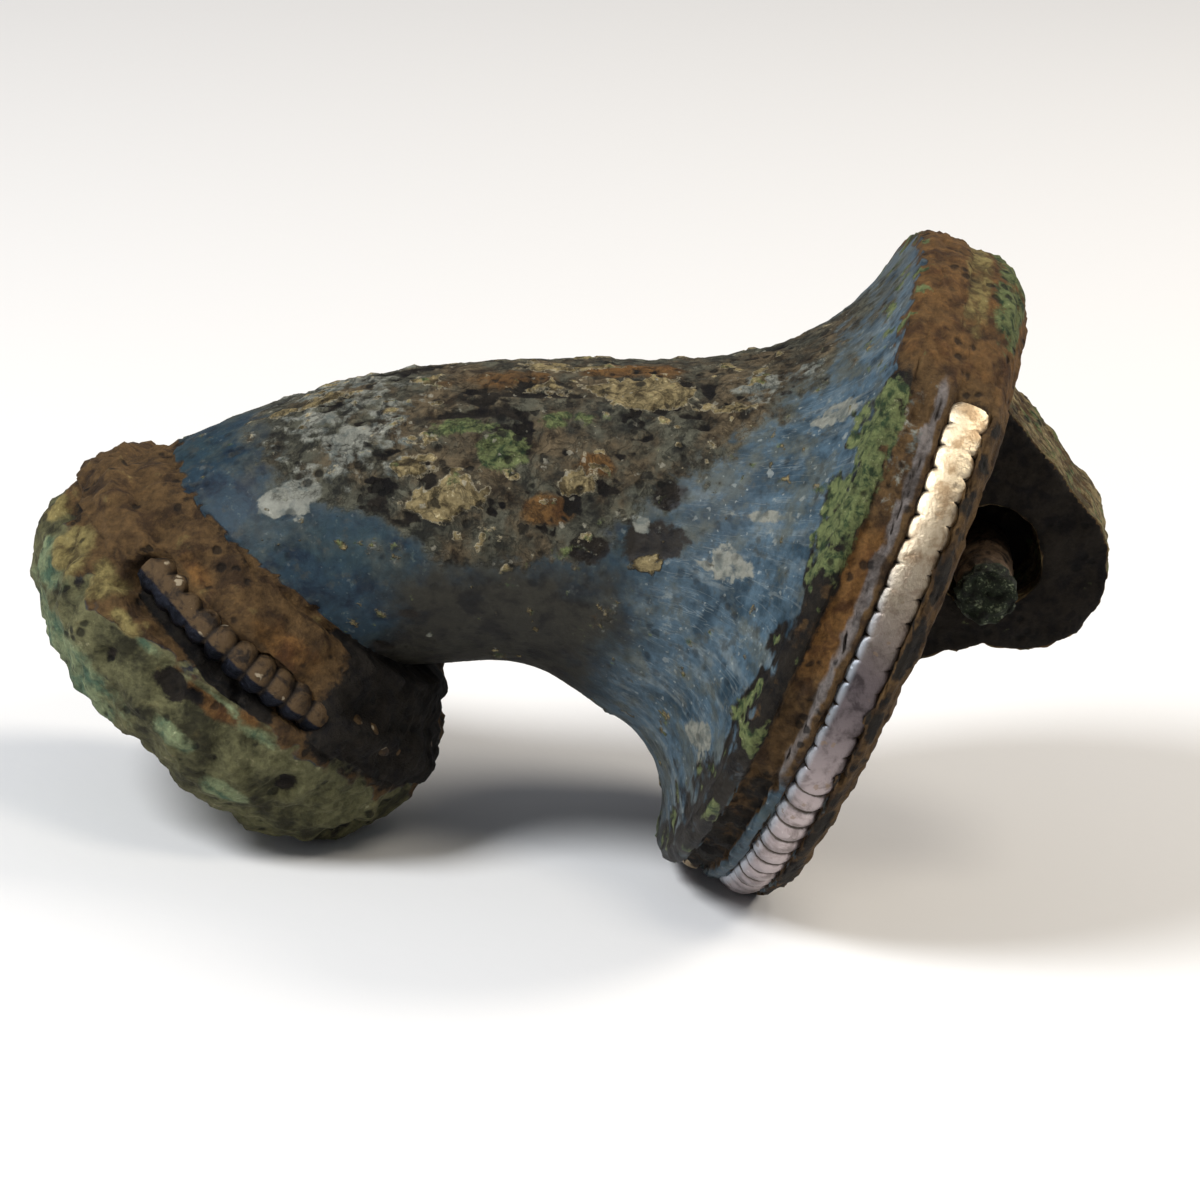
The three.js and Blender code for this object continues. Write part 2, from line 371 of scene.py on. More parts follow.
def fractal(points, scale, octaves, seed):
    """Fractal noise, about -1 to 1, with `scale` lumps to a millimetre."""
    shift = Vector((seed * 17.3, seed * -9.1, seed * 5.7))
    return np.array(
        [noise.fractal(Vector(p) * scale + shift, 0.9, 2.0, octaves) for p in points.tolist()]
    )
def vectors_of(items, key):
    found = np.empty(len(items) * 3, dtype=np.float32)
    items.foreach_get(key, found)
    return found.reshape(-1, 3)


def normals_of(mesh):
    return vectors_of(mesh.vertex_normals, "vector")


def corners_of(mesh):
    return vectors_of(mesh.vertices, "co") / MM


def set_corners(mesh, points):
    mesh.vertices.foreach_set("co", (points * MM).astype(np.float32).ravel())
    mesh.update()


def store(mesh, name, values):
    layer = mesh.attributes.get(name) or mesh.attributes.new(name, "FLOAT", "POINT")
    layer.data.foreach_set("value", np.asarray(values, dtype=np.float32))


def store_vectors(mesh, name, values):
    layer = mesh.attributes.new(name, "FLOAT_VECTOR", "POINT")
    layer.data.foreach_set("vector", np.asarray(values, dtype=np.float32).ravel())


# Patches on the casting: each has its place along the arch, its angle from the top, its half length
# and half width, and its strength.
BOW_TAN = (
    (5.3, 68, 1.1, 0.65, 0.85), (9.2, 20, 1.5, 0.6, 1.1), (7.0, 20, 0.9, 0.35, 0.8),
    (7.3, 3, 1.4, 0.5, 0.7), (4.4, 54, 0.7, 0.5, 0.7), (8.2, 60, 0.6, 0.5, 0.75),
    (10.9, 88, 0.8, 0.35, 0.75), (2.4, 10, 1.2, 0.4, 0.7), (9.5, 23, 1.1, 0.8, 1.6),
    (4.9, 69, 1.1, 0.6, 0.95), (8.2, 62, 0.7, 0.5, 0.9), (11.2, 30, 1.0, 0.3, 0.7),
)
BOW_CHALK = (
    (1.6, 55, 0.8, 0.8, 1.1), (3.0, 38, 0.7, 0.6, 0.85), (2.6, 22, 0.5, 0.4, 0.7),
    (13.0, 82, 0.8, 0.7, 0.8), (14.2, 127, 0.5, 0.7, 0.75), (12.4, 22, 1.3, 1.0, 0.65),
    (14.2, 42, 0.8, 0.6, 0.75), (13.4, 68, 1.1, 0.25, 0.75), (12.6, 84, 1.2, 0.2, 0.75),
    (14.3, 123, 0.5, 0.4, 0.7), (10.3, 75, 0.5, 0.4, 0.7),
)
BOW_BROWN = (
    (7.7, 72, 1.0, 0.6, 1.1), (8.9, 6, 1.8, 0.7, 0.9), (6.2, 14, 1.5, 0.7, 0.7),
    (8.6, 55, 0.9, 0.5, 0.7),
)
BOW_GREEN = (
    (6.4, 49, 0.8, 0.7, 1.2), (5.4, 38, 0.9, 0.5, 0.7), (8.3, 88, 0.5, 0.4, 0.6),
    (7.6, 36, 0.9, 0.5, 0.6),
)
# Dark patches of corrosion; the last two, low on the underside beside the knob, are painted shade.
BOW_DARK = (
    (10.6, 80, 1.3, 0.9, 0.95), (10.7, 64, 0.6, 0.6, 0.8), (9.0, 86, 0.9, 0.6, 0.8),
    (5.6, 33, 1.4, 0.22, 0.9), (7.0, 24, 1.5, 0.18, 0.9), (6.4, 40, 0.7, 0.2, 0.7),
    (3.4, 66, 0.4, 0.5, 0.7), (1.2, 128, 0.8, 0.6, 0.8), (3.2, 112, 0.5, 0.4, 0.7),
)
KNOB_PITS = (
    (-3.8, 77, 0.6, 0.9, 1.1), (-3.6, 84, 0.4, 0.6, 0.9), (-3.1, 12, 0.5, 0.6, 0.8),
    (-4.2, 118, 0.6, 0.6, 0.8), (-4.9, 150, 0.7, 0.9, 1.0), (-3.9, 40, 0.4, 0.5, 0.8),
    (-4.6, 60, 0.4, 0.4, 0.7),
)
KNOB_PALE = (
    (-3.3, 96, 0.35, 2.2, 0.9), (-4.9, 86, 0.4, 1.0, 0.8), (-5.4, 108, 0.4, 1.1, 0.8),
    (-4.5, 24, 0.9, 1.5, 0.9), (-3.4, 66, 0.4, 0.7, 0.8),
)
KNOB_ORANGE = (
    (-3.5, 88, 0.4, 1.3, 0.85), (-3.1, 100, 0.3, 0.9, 0.6), (-0.9, 94, 0.6, 1.5, 0.8),
    (-1.0, 60, 0.4, 1.0, 0.6),
)
KNOB_YELLOW = (
    (-3.6, 28, 1.1, 1.3, 1.2), (-3.3, 45, 0.8, 0.9, 1.1), (-3.6, 8, 0.5, 0.7, 0.9),
    (-3.5, 58, 0.4, 0.8, 0.8),
)
RIM_GREEN_SIDE = (44, 80)


class Surface:
    """What lies where on the casting: the masks of its layers, and how high each stands."""

    masks = (
        "crust", "tan", "chalk", "dark", "green", "soil", "rust", "corroded", "teal", "pale",
        "relief", "underside_shade", "ochre", "dust",
    )

    def __init__(self, arch, points, along, angle, radius):
        self.low = fractal(points, 0.4, 3, 1)
        self.mid = fractal(points, 1.2, 3, 2)
        self.fine = fractal(points, 3.4, 3, 3)
        self.along = along
        self.radius = np.maximum(radius, 0.5)
        self.side = (np.degrees(angle) + 180) % 360 - 180
        rim = arch.rim
        # The soil climbs over the end of the bow's patina on the near side.
        climb = 0.45 * ease(self.side, 50, 100)
        edge = along - climb + 0.14 * self.mid + 0.07 * self.fine
        self.on_knob = 1 - ease(edge, -0.06, 0.03)
        ahead = along - arch.length + rim.front
        ragged = 0.22 * self.mid + 0.12 * self.fine
        self.on_rim = ease(ahead + ragged, rim.front - 0.16, rim.front + 0.1)
        self.on_back = ease(ahead, rim.back - 0.3, rim.back - 0.05)
        self.on_bow = (1 - self.on_knob) * (1 - self.on_rim)
        self.bow_layers(arch)
        self.knob_layers(-along)
        self.shaken = 0.14 * self.mid + 0.1 * self.fine
        self.rim_layers(ahead + self.shaken, rim)
        self.relief = np.clip(0.65 * self.mid + 0.65 * self.fine, -1, 1)
        self.raise_layers()

    def marked(self, marks):
        """The strongest of the marks at each point."""
        found = np.zeros_like(self.along)
        for along, side, half_length, half_width, strength in marks:
            around = np.radians((self.side - side + 180) % 360 - 180) * self.radius
            reach = np.hypot((self.along - along) / half_length, around / half_width)
            found = np.maximum(found, strength * (1 - ease(reach, 0.3, 1.25)))
        return found

    def lay(self, name, values):
        """Adds to the layer, which keeps the higher value at each point."""
        setattr(self, name, np.maximum(getattr(self, name), values))

    def bow_layers(self, arch):
        along, side = self.along, np.abs(self.side)
        start = 1.5 + 2.9 * ease(self.side, 48, 88)
        stop = 15.4 - 5.6 * ease(side, 0, 96)
        upper = 1 - ease(side, 82, 104)
        stretch = ease(along, start - 0.9, start + 0.9) * (1 - ease(along, stop - 3.4, stop + 1.2))
        ragged = 0.3 * self.mid + 0.16 * self.low + 0.14 * self.fine
        self.crust = self.on_bow * np.clip(stretch * upper * 1.1 + ragged, 0, 1)
        patches = self.marked(BOW_TAN) + 0.45 * self.mid + 0.4 * self.fine
        scattered = stretch * upper * ease(self.mid + 0.5 * self.fine, 0.4, 0.8)
        self.tan = self.on_bow * np.clip(np.maximum(patches, 0.75 * scattered), 0, 1)
        crumbs = ease(along, 0.8, 2.2) * (1 - ease(along, 3.6, 5.4)) * (1 - ease(side, 48, 76))
        chalky = np.maximum(self.marked(BOW_CHALK), 0.42 * crumbs) + 0.35 * self.mid + 0.35 * self.fine
        self.chalk = self.on_bow * np.clip(chalky, 0, 1)
        # Painted shade: the bow's lower near side, and its underside beside the knob, take a dark
        # brown-black layer.
        below = ease(side, 76, 112) * ease(along, 1.0, 4.6) * (1 - ease(along, 8.5, 13.0))
        below = below + ease(side, 110, 135) * (1 - ease(along, 2.0, 5.0))
        holes = stretch * upper * ease(0.7 * self.low - self.mid - 0.4 * self.fine, 0.35, 0.8)
        self.dark = self.marked(BOW_DARK) + 0.3 * self.mid + 0.2 * self.fine
        self.dark = self.on_bow * np.clip(np.maximum(self.dark, 0.9 * holes), 0, 1)
        self.underside_shade = self.on_bow * np.clip(below, 0, 1)
        brown = self.marked(BOW_BROWN) + 0.35 * self.mid + 0.2 * self.low
        self.brown = self.on_bow * np.clip(brown, 0, 1)
        green = self.marked(BOW_GREEN) + 0.4 * self.mid + 0.3 * self.fine
        self.green = self.on_bow * np.clip(green, 0, 1)
        self.pale = self.on_bow * ease(along, arch.length - 6.5, arch.length - 1.5)
        self.lay("pale", 0.5 * self.on_rim)

    def knob_layers(self, down):
        top = 1 - ease(np.abs(self.side - 40), 10, 50)
        edge = 3.0 + 0.7 * top + 0.7 * self.mid + 0.3 * self.low
        self.soil = self.on_knob * (1 - ease(down - edge, -0.4, 0.4))
        self.corroded = self.on_knob * (1 - self.soil)
        # Painted shade: the knob's lower near side beside the bow is darkened, and the open slot beside
        # the wire is painted black.
        shade = ease(self.side, 104, 120) * (1 - ease(down, 2.2, 3.6)) + 0.25 * self.mid
        self.lay("dark", self.on_knob * np.clip(shade, 0, 1))
        slot_shade = groove(down, 2.3, 3.05, 0.2) * ease(self.side, 48, 52) * (1 - ease(self.side, 98, 108))
        self.lay("dark", self.on_knob * slot_shade)
        self.lay("soil", 0.85 * self.brown)
        orange = self.on_knob * np.clip(self.marked(KNOB_ORANGE) + 0.3 * self.mid, 0, 1)
        self.lay("soil", orange)
        self.rust = np.maximum(orange, 0.6 * self.brown)
        light = np.maximum(self.marked(KNOB_PALE), ease(down, 4.6, 5.9) * top)
        self.teal = self.corroded * np.clip(light + 0.3 * self.low, 0, 1)
        yellow = 0.85 * self.marked(KNOB_YELLOW) + 0.4 * self.mid + 0.25 * self.fine
        self.ochre = self.on_knob * np.clip(yellow, 0, 1) * (1 - self.dark)
        self.pits = self.on_knob * self.marked(KNOB_PITS)
        self.lay("dark", 0.75 * self.pits + 0.2 * self.mid * self.pits)

    def rim_layers(self, ahead, rim):
        side = self.side
        in_front = groove(ahead, rim.front_groove, rim.front_ridge)
        in_wire = groove(ahead, rim.wire_groove, rim.back_ridge)
        self.top = 1 - ease(np.abs(side), 34, 45)
        bare = ease(side, 162, 166) * (1 - ease(side, 175, 178))
        far_end = ease(-side, 20, 40) * (1 - ease(-side, 60, 64))
        self.front_fill = self.on_rim * in_front * (1 - bare)
        self.wire_floor = self.on_rim * in_wire
        self.wire_cover = np.maximum(self.top, far_end)
        edge = ease(ahead, rim.front - 0.8 - 0.5 * self.mid, rim.front + 0.1)
        edge = edge * (1 - ease(ahead, rim.front_groove - 0.1, rim.front_groove + 0.5))
        behind = self.on_rim * ease(ahead, rim.back_ridge - 0.1, rim.back_ridge + 0.1)
        low_side = ease(np.abs(side), 100, 128)
        covered = np.maximum(np.maximum(in_front, in_wire), 1 - low_side)
        self.lay("soil", covered * self.on_rim)
        self.lay("soil", self.on_rim * self.top)
        self.lay("soil", behind)
        near = np.abs(side)
        fresh_rust = ease(near, 64, 72) * (1 - ease(near, 88, 102))
        self.lay("rust", self.on_rim * (0.5 * self.top + 0.9 * in_front * fresh_rust))
        grey = in_front * (1 - ease(near, 60, 74)) * (1 - self.top)
        self.lay("chalk", self.on_rim * np.clip(0.3 * grey + 0.25 * self.mid, 0, 1))
        ridge = groove(ahead, rim.front_ridge - 0.25, rim.wire_groove - 0.06, 0.18)
        ridge = ridge * (1 - self.top) * (1 - low_side)
        self.dust = self.on_rim * np.clip(ridge * (0.9 + 0.35 * self.mid), 0, 1)
        low, high = RIM_GREEN_SIDE
        fresh = ease(near, low - 6, low + 4) * (1 - ease(near, high - 8, high + 4))
        crumbs = ease(self.mid + 0.5 * self.low, 0.15, 0.55)
        fresh = fresh * (0.76 + 0.6 * self.mid + 0.4 * self.fine)
        self.lay("green", edge * np.clip(np.maximum(fresh, crumbs * 0.75), 0, 1))
        self.lay("dark", edge * (1 - self.top) * (0.75 + 0.5 * self.mid))
        # Painted shade: the front groove is darkened low on the near side.
        deep = in_front * ease(near, 98, 125) * (0.65 + 0.3 * self.mid)
        self.lay("dark", self.on_rim * deep)
        shaded = (1 - self.top) * (1 - 0.45 * self.on_back) * (0.55 + 0.5 * self.mid)
        self.lay("dark", behind * shaded)
        # Painted shade: the uncovered walls of the wire's groove are darkened beside the wire.
        wire_groove_shade = in_wire * (1 - self.wire_cover)
        self.lay("dark", self.on_rim * wire_groove_shade * (0.6 + 0.4 * self.mid))
        crown = self.on_rim * (1 - ease(near, 20, 34)) * (0.85 + 0.4 * self.mid)
        green_crown = crown * ease(ahead, -0.5, 0.1) * (1 - ease(ahead, 0.8, 1.1))
        self.lay("green", 0.8 * green_crown)
        tan_crown = crown * ease(ahead, -1.3, -0.9) * (1 - ease(ahead, -0.5, -0.1))
        self.lay("ochre", 0.75 * tan_crown)
        self.dark = np.clip(self.dark, 0, 1)

    def raise_layers(self):
        plates = np.maximum(ease(self.tan, 0.45, 0.65), 0.7 * ease(self.chalk, 0.45, 0.7))
        plates = np.maximum(plates, 0.6 * ease(self.brown, 0.5, 0.8))
        height = 0.05 * self.low
        height = height + self.on_bow * (0.012 * self.mid + 0.006 * self.fine)
        height = height + self.crust * (0.05 * self.mid + 0.05 * self.fine)
        height = height + 0.05 * plates * self.on_bow
        height = height - 0.07 * ease(self.dark, 0.5, 0.9) * self.on_bow
        height = height + self.on_knob * (0.15 * self.mid + 0.05 * self.fine + 0.24 * self.low)
        height = height - 0.4 * self.pits
        rough = 0.3 + 0.7 * (1 - self.top)
        height = height + self.on_rim * rough * (0.06 * self.mid + 0.04 * self.fine)
        height = height + self.on_back * 0.06 * self.mid
        self.height = height


# ---------------------------------------------------------------- the casting


def evenly(values_along, values_radius, step):
    """Resamples a profile so that its rings are `step` mm apart."""
    steps = np.hypot(np.diff(values_along), np.diff(values_radius))
    run = np.concatenate([[0], np.cumsum(steps)])
    even = np.linspace(0, run[-1], max(int(run[-1] / step), 2) + 1)
    return np.interp(even, run, values_along), np.interp(even, run, values_radius)


def rim_radius(rim, ahead):
    front = rim.front_depth * groove(ahead, rim.front_groove, rim.front_ridge)
    wire = rim.wire_depth * groove(ahead, rim.wire_groove, rim.back_ridge)
    worn = 0.4 * ease(ahead, rim.back - 0.45, rim.back) + 0.12 * ease(ahead, rim.back_ridge, rim.back)
    start = 0.25 * (1 - ease(ahead, rim.front, rim.front + 0.3))
    return rim.radius - front - wire - worn - start


def casting_rings(arch):
    """Place and radius of every ring of the turned casting, from the break to the flat back."""
    knob, rim = arch.knob, arch.rim
    shares = np.linspace(0.03, 0.97, 20)
    end = (np.full(20, -knob.length), knob.end_radius * shares)
    down = np.arange(knob.length, 0.02, -0.125)
    cut = groove(
        down, knob.groove_at - knob.groove_width / 2, knob.groove_at + knob.groove_width / 2
    )
    drum = (-down, arch.knob_radius(down) - knob.groove_depth * cut)
    along = np.linspace(0.02, arch.length, 2001)
    bow = evenly(along, arch.bow_radius(along), 0.15)
    ahead = np.arange(rim.front + 0.06, rim.back, 0.06)
    plate = (ahead - rim.front + arch.length, rim_radius(rim, ahead))
    back_place = arch.length + rim.back - rim.front
    back_radius = rim_radius(rim, np.array(rim.back))
    shares = np.linspace(0.98, 0.02, 34)
    back = (np.full(34, back_place), back_radius * shares)
    parts = (end, drum, bow, plate, back)
    return np.concatenate([p[0] for p in parts]), np.concatenate([p[1] for p in parts])


def rim_fill(arch, surface):
    """How far soil raises the floors of the rim's grooves, less what is worn off its top."""
    rim = arch.rim
    rough = 0.1 * surface.mid + 0.05 * surface.fine
    dusty = 1 - ease(np.abs(surface.side), 60, 85)
    front = surface.front_fill * (rim.front_depth - 0.24 + 0.18 * dusty + 0.1 * surface.top + rough)
    shown = 1 - surface.wire_cover
    wire = surface.wire_floor * (rim.wire_depth - 0.24 * shown + (1 - 0.3 * shown) * rough)
    ahead = surface.along - arch.length + rim.front
    worn = surface.top * ease(ahead, 0.1, 1.0) * 0.4
    return front + wire - worn


def rim_wobble(arch, surface):
    """Uneven edges of the ridges: each point takes the profile a little before or behind it."""
    rim = arch.rim
    ahead = surface.along - arch.length + rim.front
    inner = ease(ahead, rim.front + 0.1, rim.front + 0.3)
    inner = inner * (1 - ease(ahead, rim.back - 0.35, rim.back - 0.1))
    change = rim_radius(rim, ahead + surface.shaken) - rim_radius(rim, ahead)
    return surface.on_rim * inner * change


def make_casting(arch, sides=280):
    along, radius = casting_rings(arch)
    angle = np.linspace(0, 2 * math.pi, sides, endpoint=False)
    along_grid = np.repeat(along, sides)
    radius_grid = np.repeat(radius, sides)
    angle_grid = np.tile(angle, len(along))
    poles_along = [along[0], along[-1]]
    along_all = np.concatenate([along_grid, poles_along])
    radius_all = np.concatenate([radius_grid, [0, 0]])
    angle_all = np.concatenate([angle_grid, [0, 0]])
    smooth = arch.points(radius_all, along_all, angle_all)
    surface = Surface(arch, smooth, along_all, angle_all, radius_all)
    filled = radius_all + rim_wobble(arch, surface) + rim_fill(arch, surface)
    filled += knob_fill(arch, surface, along_all, angle_all)
    points = arch.points(filled, along_all, angle_all)
    made = new_mesh_object("bow_casting", points, grid_faces(len(along), sides))
    made.data.shade_smooth()
    normals = normals_of(made.data)
    points = points + normals * surface.height[:, None]
    points[:, 2] = np.maximum(points[:, 2], 0)
    set_corners(made.data, points)
    for name in Surface.masks:
        store(made.data, name, getattr(surface, name))
    bent = np.stack([4 * np.cos(angle_all), 4 * np.sin(angle_all), along_all], axis=-1)
    store_vectors(made.data, "bent", bent)
    return made


def knob_fill(arch, surface, along, angle):
    """Soil that buries the knob's wire, except where it shows on the near side."""
    knob = arch.knob
    down = -along
    side = surface.side
    shown = ease(side, 46, 50) * (1 - ease(side, 108, 118))
    shown = np.maximum(shown, 0.8 * ease(-side, 70, 78) * (1 - ease(-side, 118, 126)))
    half = knob.groove_width / 2
    cut = groove(down, knob.groove_at - half, knob.groove_at + half)
    rough = 0.12 * surface.mid + 0.05 * surface.fine
    bank = 0.95 * (1 - ease(down, knob.groove_at - 0.4, knob.groove_at - 0.05))
    buried = cut * (1 - shown) * (knob.groove_depth + 0.34 + 0.6 * rough)
    slot_end = 3.1 - 0.4 * ease(side, 66, 104)
    open_side = ease(side, 46, 50) * (1 - ease(side, 100, 112))
    slot = groove(down + 0.06 * surface.mid, knob.groove_at, slot_end, 0.16) * open_side
    slab = (1 - cut) * (1 - ease(down, knob.groove_at - 0.2, knob.groove_at)) * ease(down, 0.1, 0.4)
    slab = 0.16 * slab * ease(side, 20, 50) * (1 - ease(side, 100, 106))
    return buried + cut * shown * bank - np.maximum(slot * 0.95 - cut * knob.groove_depth, 0) + slab
def make_lug(arch):
    """The lug as a solid of its own: a tab with a round nose, pierced, with softened edges."""
    lug = arch.lug
    root = arch.rim.back - 0.5
    nose_x, nose_y = lug.nose
    outline = [(root, lug.root_bottom)]
    outline.append((nose_x - 0.55 * lug.nose_radius, nose_y - 1.46 * lug.nose_radius))
    for degrees in np.linspace(-90, 60.7, 40):
        round_nose = slope_vector(math.radians(degrees), lug.nose_radius)
        outline.append((nose_x + round_nose[0], nose_y + round_nose[1]))
    outline.append((root, lug.root_top))
    corners = [arch.head_point(*corner) for corner in outline]
    half, count = lug.width / 2, len(corners)
    points = [(x, side, z) for side in (-half, half) for x, z in corners]
    faces = [range(count), range(2 * count - 1, count - 1, -1)]
    for first in range(count):
        second = (first + 1) % count
        faces.append((second, first, first + count, second + count))
    made = new_mesh_object("lug", np.array(points) + arch.shift, [list(face) for face in faces])
    # Hard soil closes the middle of the hole, round the broken axis.
    near_end, far_end = lug.soil_from, lug.soil_from + lug.soil_depth
    holes = [
        make_rod("near_hole", arch, lug.hole, lug.hole_radius, -lug.width, near_end, 64),
        make_rod("far_hole", arch, lug.hole, lug.hole_radius, far_end, lug.width, 64),
    ]
    for hole in holes:
        combine(made, "DIFFERENCE", hole)
    bevel = made.modifiers.new("Soft edges", "BEVEL")
    bevel.width = 0.55 * MM
    bevel.segments = 3
    bevel.limit_method = "ANGLE"
    fine = made.modifiers.new("Fine", "REMESH")
    fine.mode = "VOXEL"
    fine.voxel_size = 0.15 * MM
    bake_modifiers(made)
    for hole in holes:
        bpy.data.objects.remove(hole)
    mesh = made.data
    mesh.shade_smooth()
    points = corners_of(mesh)
    lumps = fractal(points, 0.7, 3, 7)
    grains = fractal(points, 2.6, 3, 8)
    normals = normals_of(mesh)
    # Painted shade: the cheeks, the faces across the brooch, are painted near-black.
    cheek = ease(np.abs(normals[:, 1]), 0.55, 0.9)
    masks = {
        "soil": 0.75 + 0.3 * lumps,
        "corroded": np.ones(len(points)),
        "dark": np.clip(cheek + 0.25 * lumps, 0, 1),
        "green": np.clip(0.3 * (1 - cheek) + 0.45 * grains, 0, 1),
        "tan": np.clip((0.55 + 0.4 * lumps) * (1 - cheek), 0, 1),
        "relief": np.clip(0.6 * lumps + 0.6 * grains, -1, 1),
    }
    for name in Surface.masks:
        store(mesh, name, masks.get(name, np.zeros(len(points))))
    store_vectors(mesh, "bent", points)
    set_corners(mesh, points + normals * (0.15 * lumps + 0.05 * grains - 0.05)[:, None])
    return made


def combine(made, operation, other):
    """Joins the other solid to the object or cuts it out, as a modifier."""
    union = made.modifiers.new("Combined", "BOOLEAN")
    union.operation = operation
    union.solver = "MANIFOLD"
    union.object = other


def make_rod(name, arch, centre, radius, near, far, sides, rings=2, end_rings=0):
    """A plain round rod across the head, closed at both ends, its near end in finer rings."""
    x, z = arch.head_point(*centre)
    shares = [(step + 1) / (end_rings + 1) for step in range(end_rings)]
    stations = [(near, share) for share in shares] + [(y, 1) for y in np.linspace(near, far, rings)]
    points = []
    for y, share in stations:
        for side in range(sides):
            bend = -2 * math.pi * side / sides
            reach = radius * share
            points.append((x + reach * math.cos(bend), y, z + reach * math.sin(bend)))
    points.append((x, near, z))
    points.append((x, far, z))
    return new_mesh_object(name, np.array(points) + arch.shift, grid_faces(len(stations), sides))


# ---------------------------------------------------------------- node trees


class Value:
    """An output of a node, so that sums of outputs are written as sums."""

    def __init__(self, tree, socket):
        self.tree, self.socket = tree, socket

    def __add__(self, other):
        return self.tree.math("ADD", self, other)

    def __sub__(self, other):
        return self.tree.math("SUBTRACT", self, other)

    def __rsub__(self, other):
        return self.tree.math("SUBTRACT", other, self)

    def __mul__(self, other):
        return self.tree.math("MULTIPLY", self, other)

    def __truediv__(self, other):
        return self.tree.math("DIVIDE", self, other)

    def __rtruediv__(self, other):
        return self.tree.math("DIVIDE", other, self)

    def __pow__(self, other):
        return self.tree.math("POWER", self, other)

    def __abs__(self):
        return self.tree.math("ABSOLUTE", self)

    __radd__, __rmul__ = __add__, __mul__


class Outputs:
    """The outputs of a node, by name or number."""

    def __init__(self, tree, node):
        self.tree, self.node = tree, node

    def __getitem__(self, key):
        return Value(self.tree, self.node.outputs[key])


class Tree:
    """Short ways to add and join the nodes of a shader or geometry tree."""

    def __init__(self, tree):
        self.tree = tree

    def add(self, kind, inputs=None, **settings):
        node = self.tree.nodes.new(kind)
        for key, value in settings.items():
            setattr(node, key, value)
        for key, value in (inputs or {}).items():
            self.feed(node.inputs[key], value)
        return Outputs(self, node)

    def feed(self, socket, value):
        """Joins an output to the socket, or sets its plain value. Plain colours are opaque."""
        if isinstance(value, Value):
            self.tree.links.new(value.socket, socket)
        else:
            socket.default_value = (*value, 1.0) if socket.type == "RGBA" else value

    def math(self, operation, first, second=0.0):
        return self.add("ShaderNodeMath", {0: first, 1: second}, operation=operation)[0]

    def vector(self, operation, first, second=(0.0, 0.0, 0.0), output="Vector"):
        key = "Scale" if operation == "SCALE" else 1
        inputs = {0: first, key: second}
        return self.add("ShaderNodeVectorMath", inputs, operation=operation)[output]

    def most(self, first, second):
        return self.math("MAXIMUM", first, second)

    def step(self, value, low, high):
        """0 below low, 1 above high, smooth between them."""
        inputs = {"Value": value, "From Min": low, "From Max": high}
        return self.add("ShaderNodeMapRange", inputs, interpolation_type="SMOOTHSTEP")["Result"]

    def mix(self, factor, first, second, blend="MIX"):
        inputs = {0: factor, 6: first, 7: second}
        return self.add("ShaderNodeMix", inputs, data_type="RGBA", blend_type=blend)[2]

    def noise(self, at, scale, detail=3.0, rough=0.55, distortion=0.0, output="Fac"):
        inputs = {"Vector": at, "Scale": scale, "Detail": detail, "Roughness": rough}
        return self.add("ShaderNodeTexNoise", {**inputs, "Distortion": distortion})[output]

    def seen_noise(self, at, scale, detail, rough, seen, distortion=0.0):
        """Noise with only its `seen` coarser octaves, each as strong as in the whole noise."""
        octaves = [rough**octave for octave in range(detail + 1)]
        share = sum(octaves[: seen + 1]) / sum(octaves)
        return (self.noise(at, scale, seen, rough, distortion) - 0.5) * share + 0.5

    def cells(self, at, scale):
        return self.add("ShaderNodeTexVoronoi", {"Vector": at, "Scale": scale}, feature="F1")

    def mask(self, name):
        return self.add("ShaderNodeAttribute", attribute_name=name)["Fac"]

    def store(self, geometry, name, value):
        """Keeps the value on each point of the geometry, under that name."""
        inputs = {"Geometry": geometry, "Name": name, "Value": value}
        kind = "GeometryNodeStoreNamedAttribute"
        return self.add(kind, inputs, data_type="FLOAT", domain="POINT")["Geometry"]


BLACK = (0.0, 0.0, 0.0, 1.0)


def group_tree(name, inputs, outputs, kind="ShaderNodeTree"):
    """A new node group with its Tree, its inputs and its output node.

    A socket is given by its default, or by its kind where it has no plain default.
    """
    kinds = {tuple: "Color", int: "Int", float: "Float"}
    group = bpy.data.node_groups.new(name, kind)
    for way, sockets in (("INPUT", inputs), ("OUTPUT", outputs)):
        for label, default in sockets.items():
            socket = "NodeSocket" + kinds.get(type(default), default if type(default) is str else "")
            made = group.interface.new_socket(label, in_out=way, socket_type=socket)
            if type(default) is not str:
                made.default_value = default
    tree = Tree(group)
    given = Outputs(tree, group.nodes.new("NodeGroupInput"))
    return group, tree, given, group.nodes.new("NodeGroupOutput")


def mottled_group():
    """Three tones of one colour, mixed in soft patches and finer flecks."""
    tones = {"Dark": BLACK, "Middle": BLACK, "Light": BLACK}
    inputs = {"Place": "Vector", **tones, "Scale": 1.0, "Light share": 0.5}
    group, tree, given, out = group_tree("Mottled colour", inputs, {"Colour": BLACK})
    at, scale = given["Place"], given["Scale"]
    patches = tree.seen_noise(at, scale, 5, 0.62, 4, 0.4)
    flecks = tree.seen_noise(at, scale * 3.7, 5, 0.68, 3)
    darker = tree.mix(tree.step(patches, 0.36, 0.56), given["Dark"], given["Middle"])
    edge = 0.78 - given["Light share"] * 0.4
    lighter = tree.step(patches * 0.45 + flecks * 0.55, edge, edge + 0.12)
    tree.feed(out.inputs["Colour"], tree.mix(lighter, darker, given["Light"]))
    return group


def ragged_group():
    """A soft mask given a ragged edge by noise."""
    inputs = {"Place": "Vector", "Mask": 0.0, "Scale": 3.0, "Raggedness": 0.8, "Softness": 0.1}
    group, tree, given, out = group_tree("Ragged mask", inputs, {"Mask": 0.0})
    mask, softness = given["Mask"], given["Softness"]
    grain = tree.seen_noise(given["Place"], given["Scale"], 6, 0.65, 4)
    offset = (grain - 0.5) * given["Raggedness"] * tree.step(mask, 0.0, 0.25)
    tree.feed(out.inputs["Mask"], tree.step(mask + offset, 0.5 - softness, 0.5 + softness))
    return group


